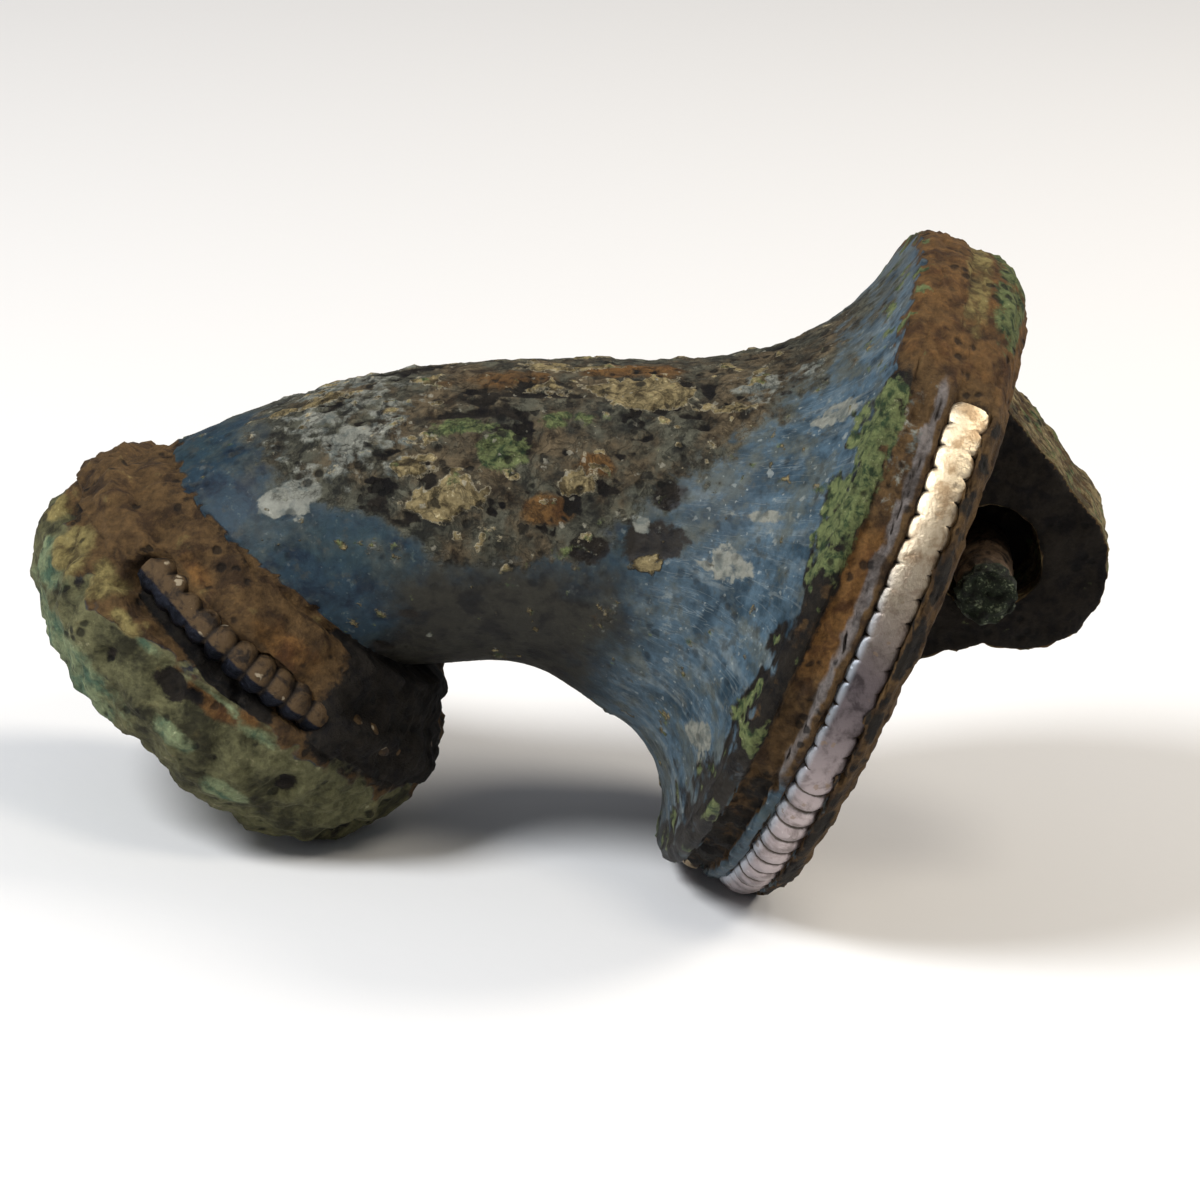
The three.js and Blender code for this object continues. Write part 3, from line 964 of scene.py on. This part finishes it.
def grain_group():
    """Height of fine grains and pits, for a rough skin."""
    inputs = {"Place": "Vector", "Scale": 6.0, "Pits": 0.5}
    group, tree, given, out = group_tree("Grain", inputs, {"Height": 0.0})
    at, scale = given["Place"], given["Scale"]
    pit = 1.0 - tree.step(tree.cells(at, scale * 0.45)["Distance"], 0.12, 0.4)
    pit = pit * tree.step(tree.noise(at, scale * 0.2, 2.0), 0.5, 0.62) * given["Pits"]
    tree.feed(out.inputs["Height"], tree.noise(at, scale, 6.0, 0.7) - pit)
    return group


def flecks_group():
    """Small uneven flecks, scattered over a share of the cells of a fine mesh."""
    inputs = {"Place": "Vector", "Scale": 4.0, "Share": 0.3, "Size": 0.35}
    group, tree, given, out = group_tree("Flecks", inputs, {"Mask": 0.0})
    at, scale = given["Place"], given["Scale"]
    wobble = tree.noise(at, scale * 1.7, 2.0, 0.5, output="Color")
    cell = tree.cells(tree.vector("ADD", at, tree.vector("SCALE", wobble, 0.9 / scale)), scale)
    lot = tree.add("ShaderNodeSeparateColor", {"Color": cell["Color"]})
    chosen = tree.math("LESS_THAN", lot["Red"], given["Share"])
    reach = given["Size"] * (lot["Green"] + 0.5)
    inside = tree.step(cell["Distance"], reach, reach * 0.6)
    tree.feed(out.inputs["Mask"], chosen * inside)
    return group


GROUPS = {
    "mottled": mottled_group,
    "ragged": ragged_group,
    "grain": grain_group,
    "flecks": flecks_group,
}


def shared(name):
    """The shader node group of that name, built when it is first asked for."""
    if callable(GROUPS[name]):
        GROUPS[name] = GROUPS[name]()
    return GROUPS[name]


# The dark, middle and light tone of each material, the scale of its mottling and its share of light.
TONES = {
    "olive": ((0.03, 0.034, 0.03), (0.075, 0.075, 0.056), (0.17, 0.165, 0.125), 1.6, 0.4),
    "crust": ((0.014, 0.014, 0.011), (0.075, 0.073, 0.052), (0.19, 0.175, 0.125), 1.5, 0.4),
    "warm": ((0.022, 0.014, 0.007), (0.1, 0.074, 0.042), (0.23, 0.18, 0.11), 1.3, 0.45),
    "underside_shade": ((0.006, 0.005, 0.004), (0.022, 0.02, 0.014), (0.075, 0.072, 0.05), 1.1, 0.35),
    "corroded": ((0.026, 0.024, 0.011), (0.105, 0.1, 0.047), (0.29, 0.27, 0.15), 0.75, 0.5),
    "teal": ((0.055, 0.1, 0.062), (0.16, 0.19, 0.1), (0.42, 0.42, 0.25), 1.3, 0.5),
    "soil": ((0.032, 0.017, 0.007), (0.085, 0.048, 0.018), (0.17, 0.11, 0.05), 1.2, 0.35),
    "rust": ((0.062, 0.026, 0.008), (0.13, 0.063, 0.018), (0.24, 0.15, 0.06), 1.2, 0.35),
    "ochre": ((0.07, 0.05, 0.017), (0.19, 0.15, 0.055), (0.38, 0.34, 0.17), 1.5, 0.5),
    "dust": ((0.065, 0.055, 0.05), (0.15, 0.135, 0.13), (0.26, 0.25, 0.24), 1.2, 0.4),
    "dark": ((0.003, 0.002, 0.002), (0.012, 0.009, 0.006), (0.06, 0.048, 0.034), 1.9, 0.3),
    "chalk": ((0.09, 0.1, 0.09), (0.18, 0.18, 0.15), (0.34, 0.33, 0.28), 1.9, 0.5),
    "tan": ((0.05, 0.036, 0.016), (0.2, 0.155, 0.075), (0.44, 0.37, 0.22), 2.2, 0.55),
    "green": ((0.016, 0.03, 0.012), (0.1, 0.118, 0.045), (0.36, 0.36, 0.2), 3.0, 0.5),
    "skin": ((0.003, 0.01, 0.021), (0.013, 0.03, 0.045), (0.085, 0.11, 0.1), 1.2, 0.5),
    "horn": ((0.016, 0.034, 0.05), (0.054, 0.09, 0.12), (0.17, 0.195, 0.19), 0.8, 0.55),
    "cream": ((0.42, 0.3, 0.18), (0.74, 0.62, 0.44), (0.9, 0.82, 0.64), 1.6, 0.5),
    "lilac": ((0.045, 0.037, 0.04), (0.11, 0.092, 0.097), (0.26, 0.23, 0.24), 1.3, 0.4),
    "pinkish": ((0.2, 0.165, 0.16), (0.42, 0.36, 0.36), (0.7, 0.64, 0.63), 1.3, 0.5),
    "tarnish": ((0.005, 0.006, 0.009), (0.016, 0.018, 0.026), (0.11, 0.12, 0.13), 1.8, 0.35),
    "wire soil": ((0.014, 0.008, 0.004), (0.075, 0.044, 0.018), (0.2, 0.135, 0.06), 2.2, 0.45),
    "pin green": ((0.003, 0.004, 0.002), (0.016, 0.024, 0.011), (0.24, 0.28, 0.17), 3.0, 0.62),
    "pin brown": ((0.03, 0.018, 0.01), (0.12, 0.075, 0.042), (0.24, 0.16, 0.09), 1.8, 0.4),
}

# The ragged edge of each layer that lies under a mask: its scale, raggedness and softness.
EDGES = {
    "crust": (2.0, 1.4, 0.2),
    "underside_shade": (1.1, 1.3, 0.4),
    "corroded": (3.0, 0.5, 0.1),
    "teal": (1.8, 1.3, 0.25),
    "rust": (1.4, 1.0, 0.35),
    "soil": (1.8, 1.1, 0.2),
    "ochre": (1.8, 1.2, 0.3),
    "dust": (1.4, 0.8, 0.35),
    "dark": (2.4, 1.0, 0.15),
    "chalk": (3.0, 1.3, 0.14),
    "tan": (2.8, 1.4, 0.12),
    "green": (2.6, 1.6, 0.16),
    "pale": (0.8, 0.9, 0.4),
    "valley": (5.0, 0.5, 0.15),
    "brown": (2.0, 0.8, 0.15),
}


class Finish(Tree):
    """A material whose patterns are laid out in millimetres round the object's origin."""

    def __init__(self, name, specular=0.5):
        self.material = bpy.data.materials.new(name)
        self.material.use_nodes = True
        super().__init__(self.material.node_tree)
        self.shader = self.tree.nodes["Principled BSDF"]
        self.shader.inputs["Specular IOR Level"].default_value = specular
        self.place = self.vector("SCALE", self.add("ShaderNodeTexCoord")["Object"], 1 / MM)

    def group(self, name, inputs):
        return self.add("ShaderNodeGroup", {"Place": self.place, **inputs}, node_tree=shared(name))

    def tone(self, name):
        dark, middle, light, scale, share = TONES[name]
        tones = {"Dark": dark, "Middle": middle, "Light": light}
        return self.group("mottled", {**tones, "Scale": scale, "Light share": share})["Colour"]

    def ragged(self, mask, scale, raggedness, softness):
        inputs = {"Mask": mask, "Scale": scale, "Raggedness": raggedness, "Softness": softness}
        return self.group("ragged", inputs)["Mask"]

    def edge(self, name):
        return self.ragged(self.mask(name), *EDGES[name])

    def flecks(self, scale, share, size):
        return self.group("flecks", {"Scale": scale, "Share": share, "Size": size})["Mask"]

    def grain(self, scale, pits):
        return self.group("grain", {"Scale": scale, "Pits": pits})["Height"]

    def patches(self, scale, detail, rough, low, high):
        return self.step(self.noise(self.place, scale, detail, rough), low, high)

    def painted_relief_shading(self, colour, grain, strength):
        """Darkens the colour in the hollows of its relief and lightens it on the crests."""
        tone = grain * 2.6 - 0.35 + self.mask("relief") * 0.4
        tone = self.math("MINIMUM", self.most(tone, 0.12), 1.7)
        return self.mix(strength, colour, tone, "MULTIPLY")

    def bump(self, height, distance):
        inputs = {"Strength": 1.0, "Distance": distance * MM, "Height": height}
        return self.add("ShaderNodeBump", inputs)["Normal"]

    def end(self, colour, roughness, normal, metallic=0.0):
        inputs = {"Base Color": colour, "Roughness": roughness, "Metallic": metallic, "Normal": normal}
        for key, value in inputs.items():
            self.feed(self.shader.inputs[key], value)
        return self.material


# ---------------------------------------------------------------- finishes


def bronze_finish():
    """Blue-grey patina, brown and ochre crust, soil and green corrosion."""
    finish = Finish("corroded_bronze", 0.22)
    haze = finish.ragged(finish.mask("crust") + 0.2, 1.0, 1.5, 0.35) * 0.75
    colour = finish.mix(haze, patina(finish), finish.tone("olive"))
    warmer = finish.patches(0.42, 5.0, 0.65, 0.42, 0.6)
    crust = finish.mix(warmer, finish.tone("crust"), finish.tone("warm"))
    crusted, dirty, plates = finish.edge("crust"), finish.edge("soil"), finish.edge("tan")
    colour = finish.mix(crusted, colour, crust)
    for name in ("underside_shade", "corroded", "teal"):
        colour = finish.mix(finish.edge(name), colour, finish.tone(name))
    soil = finish.mix(finish.edge("rust"), finish.tone("soil"), finish.tone("rust"))
    colour = finish.mix(dirty, colour, soil)
    colour = finish.mix(finish.edge("ochre"), colour, finish.tone("ochre"))
    colour = finish.mix(finish.edge("dust") * 0.85, colour, finish.tone("dust"))
    for name in ("dark", "chalk"):
        colour = finish.mix(finish.edge(name), colour, finish.tone(name))
    colour = finish.mix(plates, colour, finish.tone("tan"))
    # Painted highlight: a thin pale line along the rims of the tan plates on the crust.
    outline = finish.step(plates, 0.1, 0.4) * finish.step(plates, 0.9, 0.6) * crusted
    colour = finish.mix(outline * 0.5, colour, (0.34, 0.3, 0.21))
    colour = finish.mix(finish.edge("green"), colour, finish.tone("green"))

    rough_parts = finish.most(finish.most(crusted, finish.most(dirty, plates)), finish.mask("corroded"))
    cracks = abs(finish.noise(finish.place, 1.5, 6.0, 0.62, 0.6) - 0.5)
    cracks = finish.step(cracks, 0.03, 0.006) * crusted
    holes = finish.flecks(2.3, 0.13, 0.4) * finish.most(crusted, rough_parts * 0.3)
    holes = finish.most(holes, cracks * 0.45)
    colour = finish.mix(holes * 0.85, colour, (0.008, 0.007, 0.005))
    grits = finish.flecks(4.4, 0.08, 0.34) * crusted
    colour = finish.mix(grits * 0.6, colour, (0.28, 0.26, 0.2))
    grain = finish.grain(4.5, 0.6)
    # Painted shade and light: the colour is darkened in the hollows of the grain and relief and
    # lightened on the crests.
    colour = finish.painted_relief_shading(colour, grain, rough_parts * 0.35 + 0.5)
    height = grain * (rough_parts * 0.85 + 0.2) + plates * 0.3 - holes * 0.5
    return finish.end(colour, rough_parts * 0.3 + 0.55, finish.bump(height, 0.13))


def patina(finish):
    """The smooth blue-grey skin, paler and faintly drawn out along the opening horn."""
    bent = finish.add("ShaderNodeAttribute", attribute_name="bent")["Vector"]
    drawn_out = finish.vector("MULTIPLY", bent, (2.6, 2.6, 0.7))
    streaks = finish.seen_noise(drawn_out, 1.0, 6, 0.66, 4)
    scratched = finish.vector("MULTIPLY", bent, (5.0, 5.0, 0.45))
    lines = abs(finish.noise(scratched, 1.0, 3.0, 0.5, 0.3) - 0.52)

    teal = finish.patches(0.5, 5.0, 0.66, 0.44, 0.6)
    skin = finish.mix(teal * 0.4, finish.tone("skin"), (0.018, 0.036, 0.036))
    horn = finish.mix(finish.step(streaks, 0.5, 0.68) * 0.45, finish.tone("horn"), (0.2, 0.225, 0.22))
    horn = finish.mix(finish.step(streaks, 0.48, 0.36) * 0.55, horn, (0.022, 0.036, 0.044))
    horn = finish.mix(finish.step(lines, 0.012, 0.003) * 0.22, horn, (0.28, 0.3, 0.28))
    horn = finish.mix(finish.patches(0.5, 6.0, 0.7, 0.49, 0.6) * 0.62, horn, (0.066, 0.074, 0.062))
    colour = finish.mix(finish.edge("pale"), skin, horn)
    grime = finish.step(finish.seen_noise(finish.place, 1.7, 6, 0.7, 4), 0.54, 0.66) * 0.6
    colour = finish.mix(grime, colour, (0.04, 0.042, 0.036))
    # Pale specks, partly the patina's own and partly painted highlights standing in for its small
    # sparkles.
    specks = finish.most(finish.flecks(3.0, 0.08, 0.3), finish.flecks(7.0, 0.1, 0.3))
    specks = specks * (finish.mask("pale") * 0.35 + 0.12)
    return finish.mix(specks, colour, (0.28, 0.3, 0.28))


def silver_finish():
    """Worn silver: cream at the top, lilac grey down the side and pinkish below, dirt between beads."""
    finish = Finish("worn_silver")
    run = finish.mask("run")
    # Painted reflections: the tint runs from cream through lilac grey to pinkish along the wire.
    silver = finish.mix(finish.step(run, 0.04, 0.2), finish.tone("cream"), finish.tone("lilac"))
    silver = finish.mix(finish.step(run, 0.2, 0.32), silver, finish.tone("pinkish"))
    # Painted reflection: a bluish-white edge on the wire's front side.
    edge = finish.step(finish.mask("across"), -0.4, -0.75) * finish.step(run, 0.1, 0.2)
    silver = finish.mix(edge * 0.55, silver, (0.6, 0.68, 0.76))
    silver = finish.mix(finish.flecks(3.5, 0.18, 0.3) * 0.55, silver, (0.2, 0.14, 0.09))
    dirt = finish.edge("valley")
    colour = finish.mix(dirt, silver, (0.05, 0.036, 0.026))
    normal = finish.bump(finish.grain(5.0, 0.3), 0.04)
    return finish.end(colour, dirt * 0.3 + 0.4, normal, 1.0 - dirt)


def tarnished_finish():
    """Dark tarnished silver, its outer side coated with brown soil."""
    finish = Finish("tarnished_silver", 0.25)
    valley = finish.mask("valley")
    coated = finish.step(finish.mask("across"), -0.45, 0.15) * 0.85
    cover = finish.ragged(finish.most(coated, valley * 0.6), 2.5, 0.8, 0.15)
    colour = finish.mix(cover, finish.tone("tarnish"), finish.tone("wire soil"))
    # Painted highlights: small pale glints on the soil-coated beads.
    painted_glints = finish.flecks(2.6, 0.3, 0.3) * cover
    colour = finish.mix(painted_glints * 0.6, colour, (0.42, 0.35, 0.24))
    colour = finish.mix(finish.step(valley, 0.35, 0.95) * 0.85, colour, (0.01, 0.007, 0.005))
    normal = finish.bump(finish.grain(6.0, 0.5), 0.08)
    return finish.end(colour, cover * 0.28 + 0.34, normal, cover * -0.85 + 0.9)


def pin_finish():
    """Granular green corrosion over brown."""
    finish = Finish("corroded_pin", 0.3)
    colour = finish.mix(finish.edge("brown"), finish.tone("pin green"), finish.tone("pin brown"))
    grain = finish.grain(5.0, 0.5)
    # Painted shade and light: darker in the hollows of the grain, lighter on its crests.
    return finish.end(finish.painted_relief_shading(colour, grain, 0.7), 0.7, finish.bump(grain, 0.2))


# ---------------------------------------------------------------- wires


def beaded_wire_tree():
    """A worn beaded wire lying in a ring round Z, as a geometry node group."""
    sizes = {"Ring radius": 0.01, "Wire radius": 0.0005, "From": 0.0, "Sweep": 3.0, "Beads": 60}
    shape = {"Bead depth": 0.3, "Roundness": 0.45, "Flattened": 0.3, "Flat until": 2.7}
    group, tree, given, out = group_tree(
        "Beaded wire",
        {**sizes, **shape, "Unevenness": 0.00004, "Material": "Material"},
        {"Geometry": "Geometry"},
        "GeometryNodeTree",
    )
    ring, radius, beads = given["Ring radius"], given["Wire radius"], given["Beads"]
    arc = {"Radius": ring, "Start Angle": given["From"], "Sweep Angle": given["Sweep"]}
    arc = tree.add("GeometryNodeCurveArc", {"Resolution": 400, **arc}, mode="RADIUS")["Curve"]
    even = {"Curve": arc, "Count": beads * 20.0 + 1.0}
    even = tree.add("GeometryNodeResampleCurve", even, mode="COUNT")["Curve"]
    marked = tree.store(even, "run", tree.add("GeometryNodeSplineParameter")["Factor"])
    round_section = {"Resolution": 22, "Radius": radius}
    profile = tree.add("GeometryNodeCurvePrimitiveCircle", round_section, mode="RADIUS")["Curve"]
    tube = {"Curve": marked, "Profile Curve": profile, "Fill Caps": True}
    tube = tree.add("GeometryNodeCurveToMesh", tube)["Mesh"]

    # Beads: the tube draws in towards its own middle between each bead and the next.
    stored = tree.add("GeometryNodeInputNamedAttribute", {"Name": "run"}, data_type="FLOAT")
    stored = stored["Attribute"]
    valley = 1.0 - abs(tree.math("SINE", stored * beads * math.pi)) ** given["Roundness"]
    here = tree.add("GeometryNodeInputPosition")["Position"]
    across = tree.add("ShaderNodeSeparateXYZ", {"Vector": here})["Z"] / radius
    level = tree.vector("MULTIPLY", here, (1.0, 1.0, 0.0))
    middle = tree.vector("SCALE", tree.vector("NORMALIZE", level), ring)
    turned = given["From"] + stored * given["Sweep"]
    sharp = tree.step(turned, given["Flat until"] - 0.25, given["Flat until"])
    sides = tree.step(abs(across), 0.4, 0.95)
    irregular = tree.noise(here, 900.0, 2.0) * 2.2 - 0.1
    deep = given["Bead depth"] * (sides + sharp * 0.55 * (1.0 - sides)) * irregular
    drawn = tree.vector("SCALE", tree.vector("SUBTRACT", middle, here), valley * deep)
    beaded = tree.add("GeometryNodeSetPosition", {"Geometry": tube, "Offset": drawn})["Geometry"]

    # Wear: what stands further out than the worn face is cut back to it.
    size = tree.vector("LENGTH", level, output="Value")
    uneven = (tree.noise(here, 700.0, 3.0) - 0.5) * given["Unevenness"]
    worn = ring + radius * (1.0 - given["Flattened"] * (1.0 - sharp)) + uneven
    worn = worn - across * across * radius * 0.3
    face = tree.step((size - worn) / radius, -0.05, 0.01)
    kept = tree.vector("SCALE", level, tree.math("MINIMUM", size, worn) / size)
    whole = tree.vector("ADD", kept, tree.vector("MULTIPLY", here, (0.0, 0.0, 1.0)))
    cut = tree.add("GeometryNodeSetPosition", {"Geometry": beaded, "Position": whole})["Geometry"]
    cut = tree.store(cut, "valley", valley * (1.0 - face))
    cut = tree.store(cut, "across", across)
    cut = tree.add("GeometryNodeRealizeInstances", {"Geometry": cut})["Geometry"]
    coated = {"Geometry": cut, "Material": given["Material"]}
    tree.feed(out.inputs["Geometry"], tree.add("GeometryNodeSetMaterial", coated)["Geometry"])
    return group


def make_wire(name, tree, values, matrix):
    """One wire from the beaded wire tree, put in place by the matrix."""
    made = new_mesh_object(name, [(0, 0, 0)], [])
    modifier = made.modifiers.new("Beaded wire", "NODES")
    modifier.node_group = tree
    for item in tree.interface.items_tree:
        if item.item_type == "SOCKET" and item.in_out == "INPUT" and item.name in values:
            modifier[item.identifier] = values[item.name]
    bake_modifiers(made)
    made.data.transform(matrix)
    made.data.shade_smooth()
    points = corners_of(made.data)
    points[:, 2] = np.maximum(points[:, 2], 0)
    set_corners(made.data, points)
    return made


def ring_matrix(arch, centre, slope):
    """Puts a ring round Z in place: X becomes up, and Y the near side."""
    up = Vector((-math.sin(slope), 0, math.cos(slope)))
    near = Vector((0, -1, 0))
    axis = up.cross(near)
    middle = (np.array([centre[0], 0, centre[1]]) + arch.shift) * MM
    matrix = Matrix((up, near, axis)).transposed().to_4x4()
    matrix.translation = Vector(middle)
    return matrix


# ---------------------------------------------------------------- operators


def scene_arch():
    return Arch(bpy.context.scene)


class BROOCH_OT_casting(bpy.types.Operator):
    """Make the bronze casting: knob, bow, trumpet-shaped head, rim and lug"""

    bl_idname = "brooch.casting"
    bl_label = "Casting"

    def execute(self, context):
        arch = scene_arch()
        casting, lug = make_casting(arch), make_lug(arch)
        combine(casting, "UNION", lug)
        bake_modifiers(casting)
        bpy.data.objects.remove(lug)
        casting.data.materials.clear()
        casting.data.materials.append(bronze_finish())
        casting.data.shade_smooth()
        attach(casting, "root")
        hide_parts("bow")
        return {"FINISHED"}


class BROOCH_OT_wires(bpy.types.Operator):
    """Lay the beaded silver wires in the grooves of the rim and the knob"""

    bl_idname = "brooch.wires"
    bl_label = "Beaded wires"

    def execute(self, context):
        scene = context.scene
        arch = scene_arch()
        tree = beaded_wire_tree()
        silver = silver_finish()
        rim, knob = arch.rim, arch.knob
        head_slope, knob_slope = arch.sizes.head_slope, arch.sizes.knob_slope
        front_place = (rim.front_groove + rim.front_ridge) / 2
        knob_surface = float(arch.knob_radius(np.array(knob.groove_at)))
        wires = [
            ("rim_silver_wire", "rim_wire", in_mm(scene.brooch_rim_wire), rim.radius,
             ring_matrix(arch, arch.head_point(0), head_slope), silver, "silver"),
            ("front_silver_wire", "front_rim_wire", in_mm(scene.brooch_front_wire), rim.radius,
             ring_matrix(arch, arch.head_point(front_place), head_slope), silver, "silver"),
            ("knob_silver_wire", "knob_wire", in_mm(scene.brooch_knob_wire), knob_surface,
             ring_matrix(arch, arch.knob_point(knob.groove_at), knob_slope),
             tarnished_finish(), "dark_silver"),
        ]
        for name, node, sizes, surface, matrix, finish, slot in wires:
            ring = surface + sizes.proud - sizes.radius
            sweep = sizes.finish - sizes.start
            values = {
                "Ring radius": ring * MM,
                "Wire radius": sizes.radius * MM,
                "From": sizes.start,
                "Sweep": sweep,
                "Beads": max(round(ring * sweep / sizes.pitch), 2),
                "Bead depth": sizes.bead_depth,
                "Roundness": sizes.roundness,
                "Flattened": sizes.flattened,
                "Flat until": sizes.flat_until,
                "Material": finish,
            }
            made = make_wire(name, tree, values, matrix)
            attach(made, "root")
            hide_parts(node)
        return {"FINISHED"}


class BROOCH_OT_spring_pin(bpy.types.Operator):
    """Make the corroded stub of the spring's axis"""

    bl_idname = "brooch.spring_pin"
    bl_label = "Spring axis stub"

    def execute(self, context):
        arch = scene_arch()
        lug = arch.lug
        made = make_rod(
            "corroded_pin_stub", arch, lug.pin, lug.pin_radius, lug.pin_near, lug.pin_far, 64, 70, 12
        )
        made.data.shade_smooth()
        points = corners_of(made.data)
        rough = 0.22 * fractal(points, 1.1, 3, 11) + 0.13 * fractal(points, 3.0, 3, 12) - 0.08
        near_end = 1 - ease(points[:, 1], lug.pin_near + 0.3, lug.pin_near + 1.4)
        points = points + normals_of(made.data) * (rough * (0.35 + 0.65 * near_end))[:, None]
        set_corners(made.data, points)
        store(made.data, "brown", 1 - near_end)
        made.data.materials.append(pin_finish())
        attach(made, "root")
        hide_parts("spring_pin")
        return {"FINISHED"}


def soft_light(name, place_mm, target_mm, size_mm, watts, tint):
    data = bpy.data.lights.new(name, "AREA")
    data.shape = "DISK"
    data.size = size_mm * MM
    data.energy = watts
    data.color = tint
    made = bpy.data.objects.new(name, data)
    bpy.context.scene.collection.objects.link(made)
    here = Vector(place_mm) * MM
    made.location = here
    made.rotation_euler = (Vector(target_mm) * MM - here).to_track_quat("-Z", "Y").to_euler()
    return made


class BROOCH_OT_stage(bpy.types.Operator):
    """Set up the pale floor, the soft lights and the camera"""

    bl_idname = "brooch.stage"
    bl_label = "Stage"

    def execute(self, context):
        scene = context.scene
        sizes = in_mm(scene.brooch_stage)
        arch = scene_arch()
        half = 2000
        corners = [(-half, -half, 0), (half, -half, 0), (half, half, 0), (-half, half, 0)]
        floor = new_mesh_object("pale_floor", corners, [(0, 1, 2, 3)])
        finish = Finish("pale_card")
        paper = finish.noise(finish.place, 1.2, 3.0) * 0.5
        floor.data.materials.append(
            finish.end(tuple(sizes.floor_colour), 0.9, finish.bump(paper, 0.02))
        )
        self.set_camera(scene, sizes, arch)
        world = bpy.data.worlds.new("soft_room")
        world.use_nodes = True
        background = world.node_tree.nodes["Background"]
        background.inputs["Color"].default_value = (0.9, 0.93, 1.0, 1.0)
        background.inputs["Strength"].default_value = 0.25
        scene.world = world
        scene.view_settings.view_transform = "Standard"
        middle = (0, 0, 8)
        soft_light("window_light", (-150, -120, 190), middle, 100, 0.76, (0.94, 0.97, 1.0))
        soft_light("warm_light", (190, 90, 180), middle, 110, 0.52, (1.0, 0.93, 0.82))
        soft_light("top_light", (62, -84, 190), middle, 70, 0.1, (1.0, 0.92, 0.78))
        return {"FINISHED"}

    def set_camera(self, scene, sizes, arch):
        data = bpy.data.cameras.new("camera")
        data.sensor_width = 36
        data.lens = sizes.lens
        data.clip_start = 1 * MM
        camera = bpy.data.objects.new("camera", data)
        scene.collection.objects.link(camera)
        back = Vector((0, -math.cos(sizes.elevation), math.sin(sizes.elevation)))
        right = Vector((1, 0, 0))
        up = back.cross(right)
        turned_right = right * math.cos(sizes.roll) + up * math.sin(sizes.roll)
        turned_up = up * math.cos(sizes.roll) - right * math.sin(sizes.roll)
        target = Vector(arch.shift)
        matrix = Matrix((turned_right, turned_up, back)).transposed().to_4x4()
        matrix.translation = (target + back * sizes.distance) * MM
        camera.matrix_world = matrix
        scene.camera = camera


class BROOCH_PT_panel(bpy.types.Panel):
    """Lists the steps that build the brooch"""

    bl_label = "Brooch"
    bl_idname = "BROOCH_PT_panel"
    bl_space_type = "VIEW_3D"
    bl_region_type = "UI"
    bl_category = "Brooch"

    def draw(self, context):
        for step in OPERATORS:
            self.layout.operator(step.bl_idname)


GROUPS_OF_SIZES = {
    "brooch_arch": ArchSizes,
    "brooch_bow": BowSizes,
    "brooch_rim": RimSizes,
    "brooch_knob": KnobSizes,
    "brooch_lug": LugSizes,
    "brooch_rim_wire": RimWireSizes,
    "brooch_front_wire": FrontWireSizes,
    "brooch_knob_wire": KnobWireSizes,
    "brooch_stage": StageSizes,
}
OPERATORS = (BROOCH_OT_casting, BROOCH_OT_wires, BROOCH_OT_spring_pin, BROOCH_OT_stage)


def register():
    for name, kind in GROUPS_OF_SIZES.items():
        bpy.utils.register_class(kind)
        setattr(bpy.types.Scene, name, PointerProperty(type=kind))
    for kind in (*OPERATORS, BROOCH_PT_panel):
        bpy.utils.register_class(kind)


def unregister():
    for kind in (BROOCH_PT_panel, *reversed(OPERATORS)):
        bpy.utils.unregister_class(kind)
    for name, kind in GROUPS_OF_SIZES.items():
        delattr(bpy.types.Scene, name)
        bpy.utils.unregister_class(kind)


def main():
    register()
    bpy.ops.brooch.casting()
    bpy.ops.brooch.wires()
    bpy.ops.brooch.spring_pin()
    bpy.ops.brooch.stage()


if __name__ == "__main__":
    main()
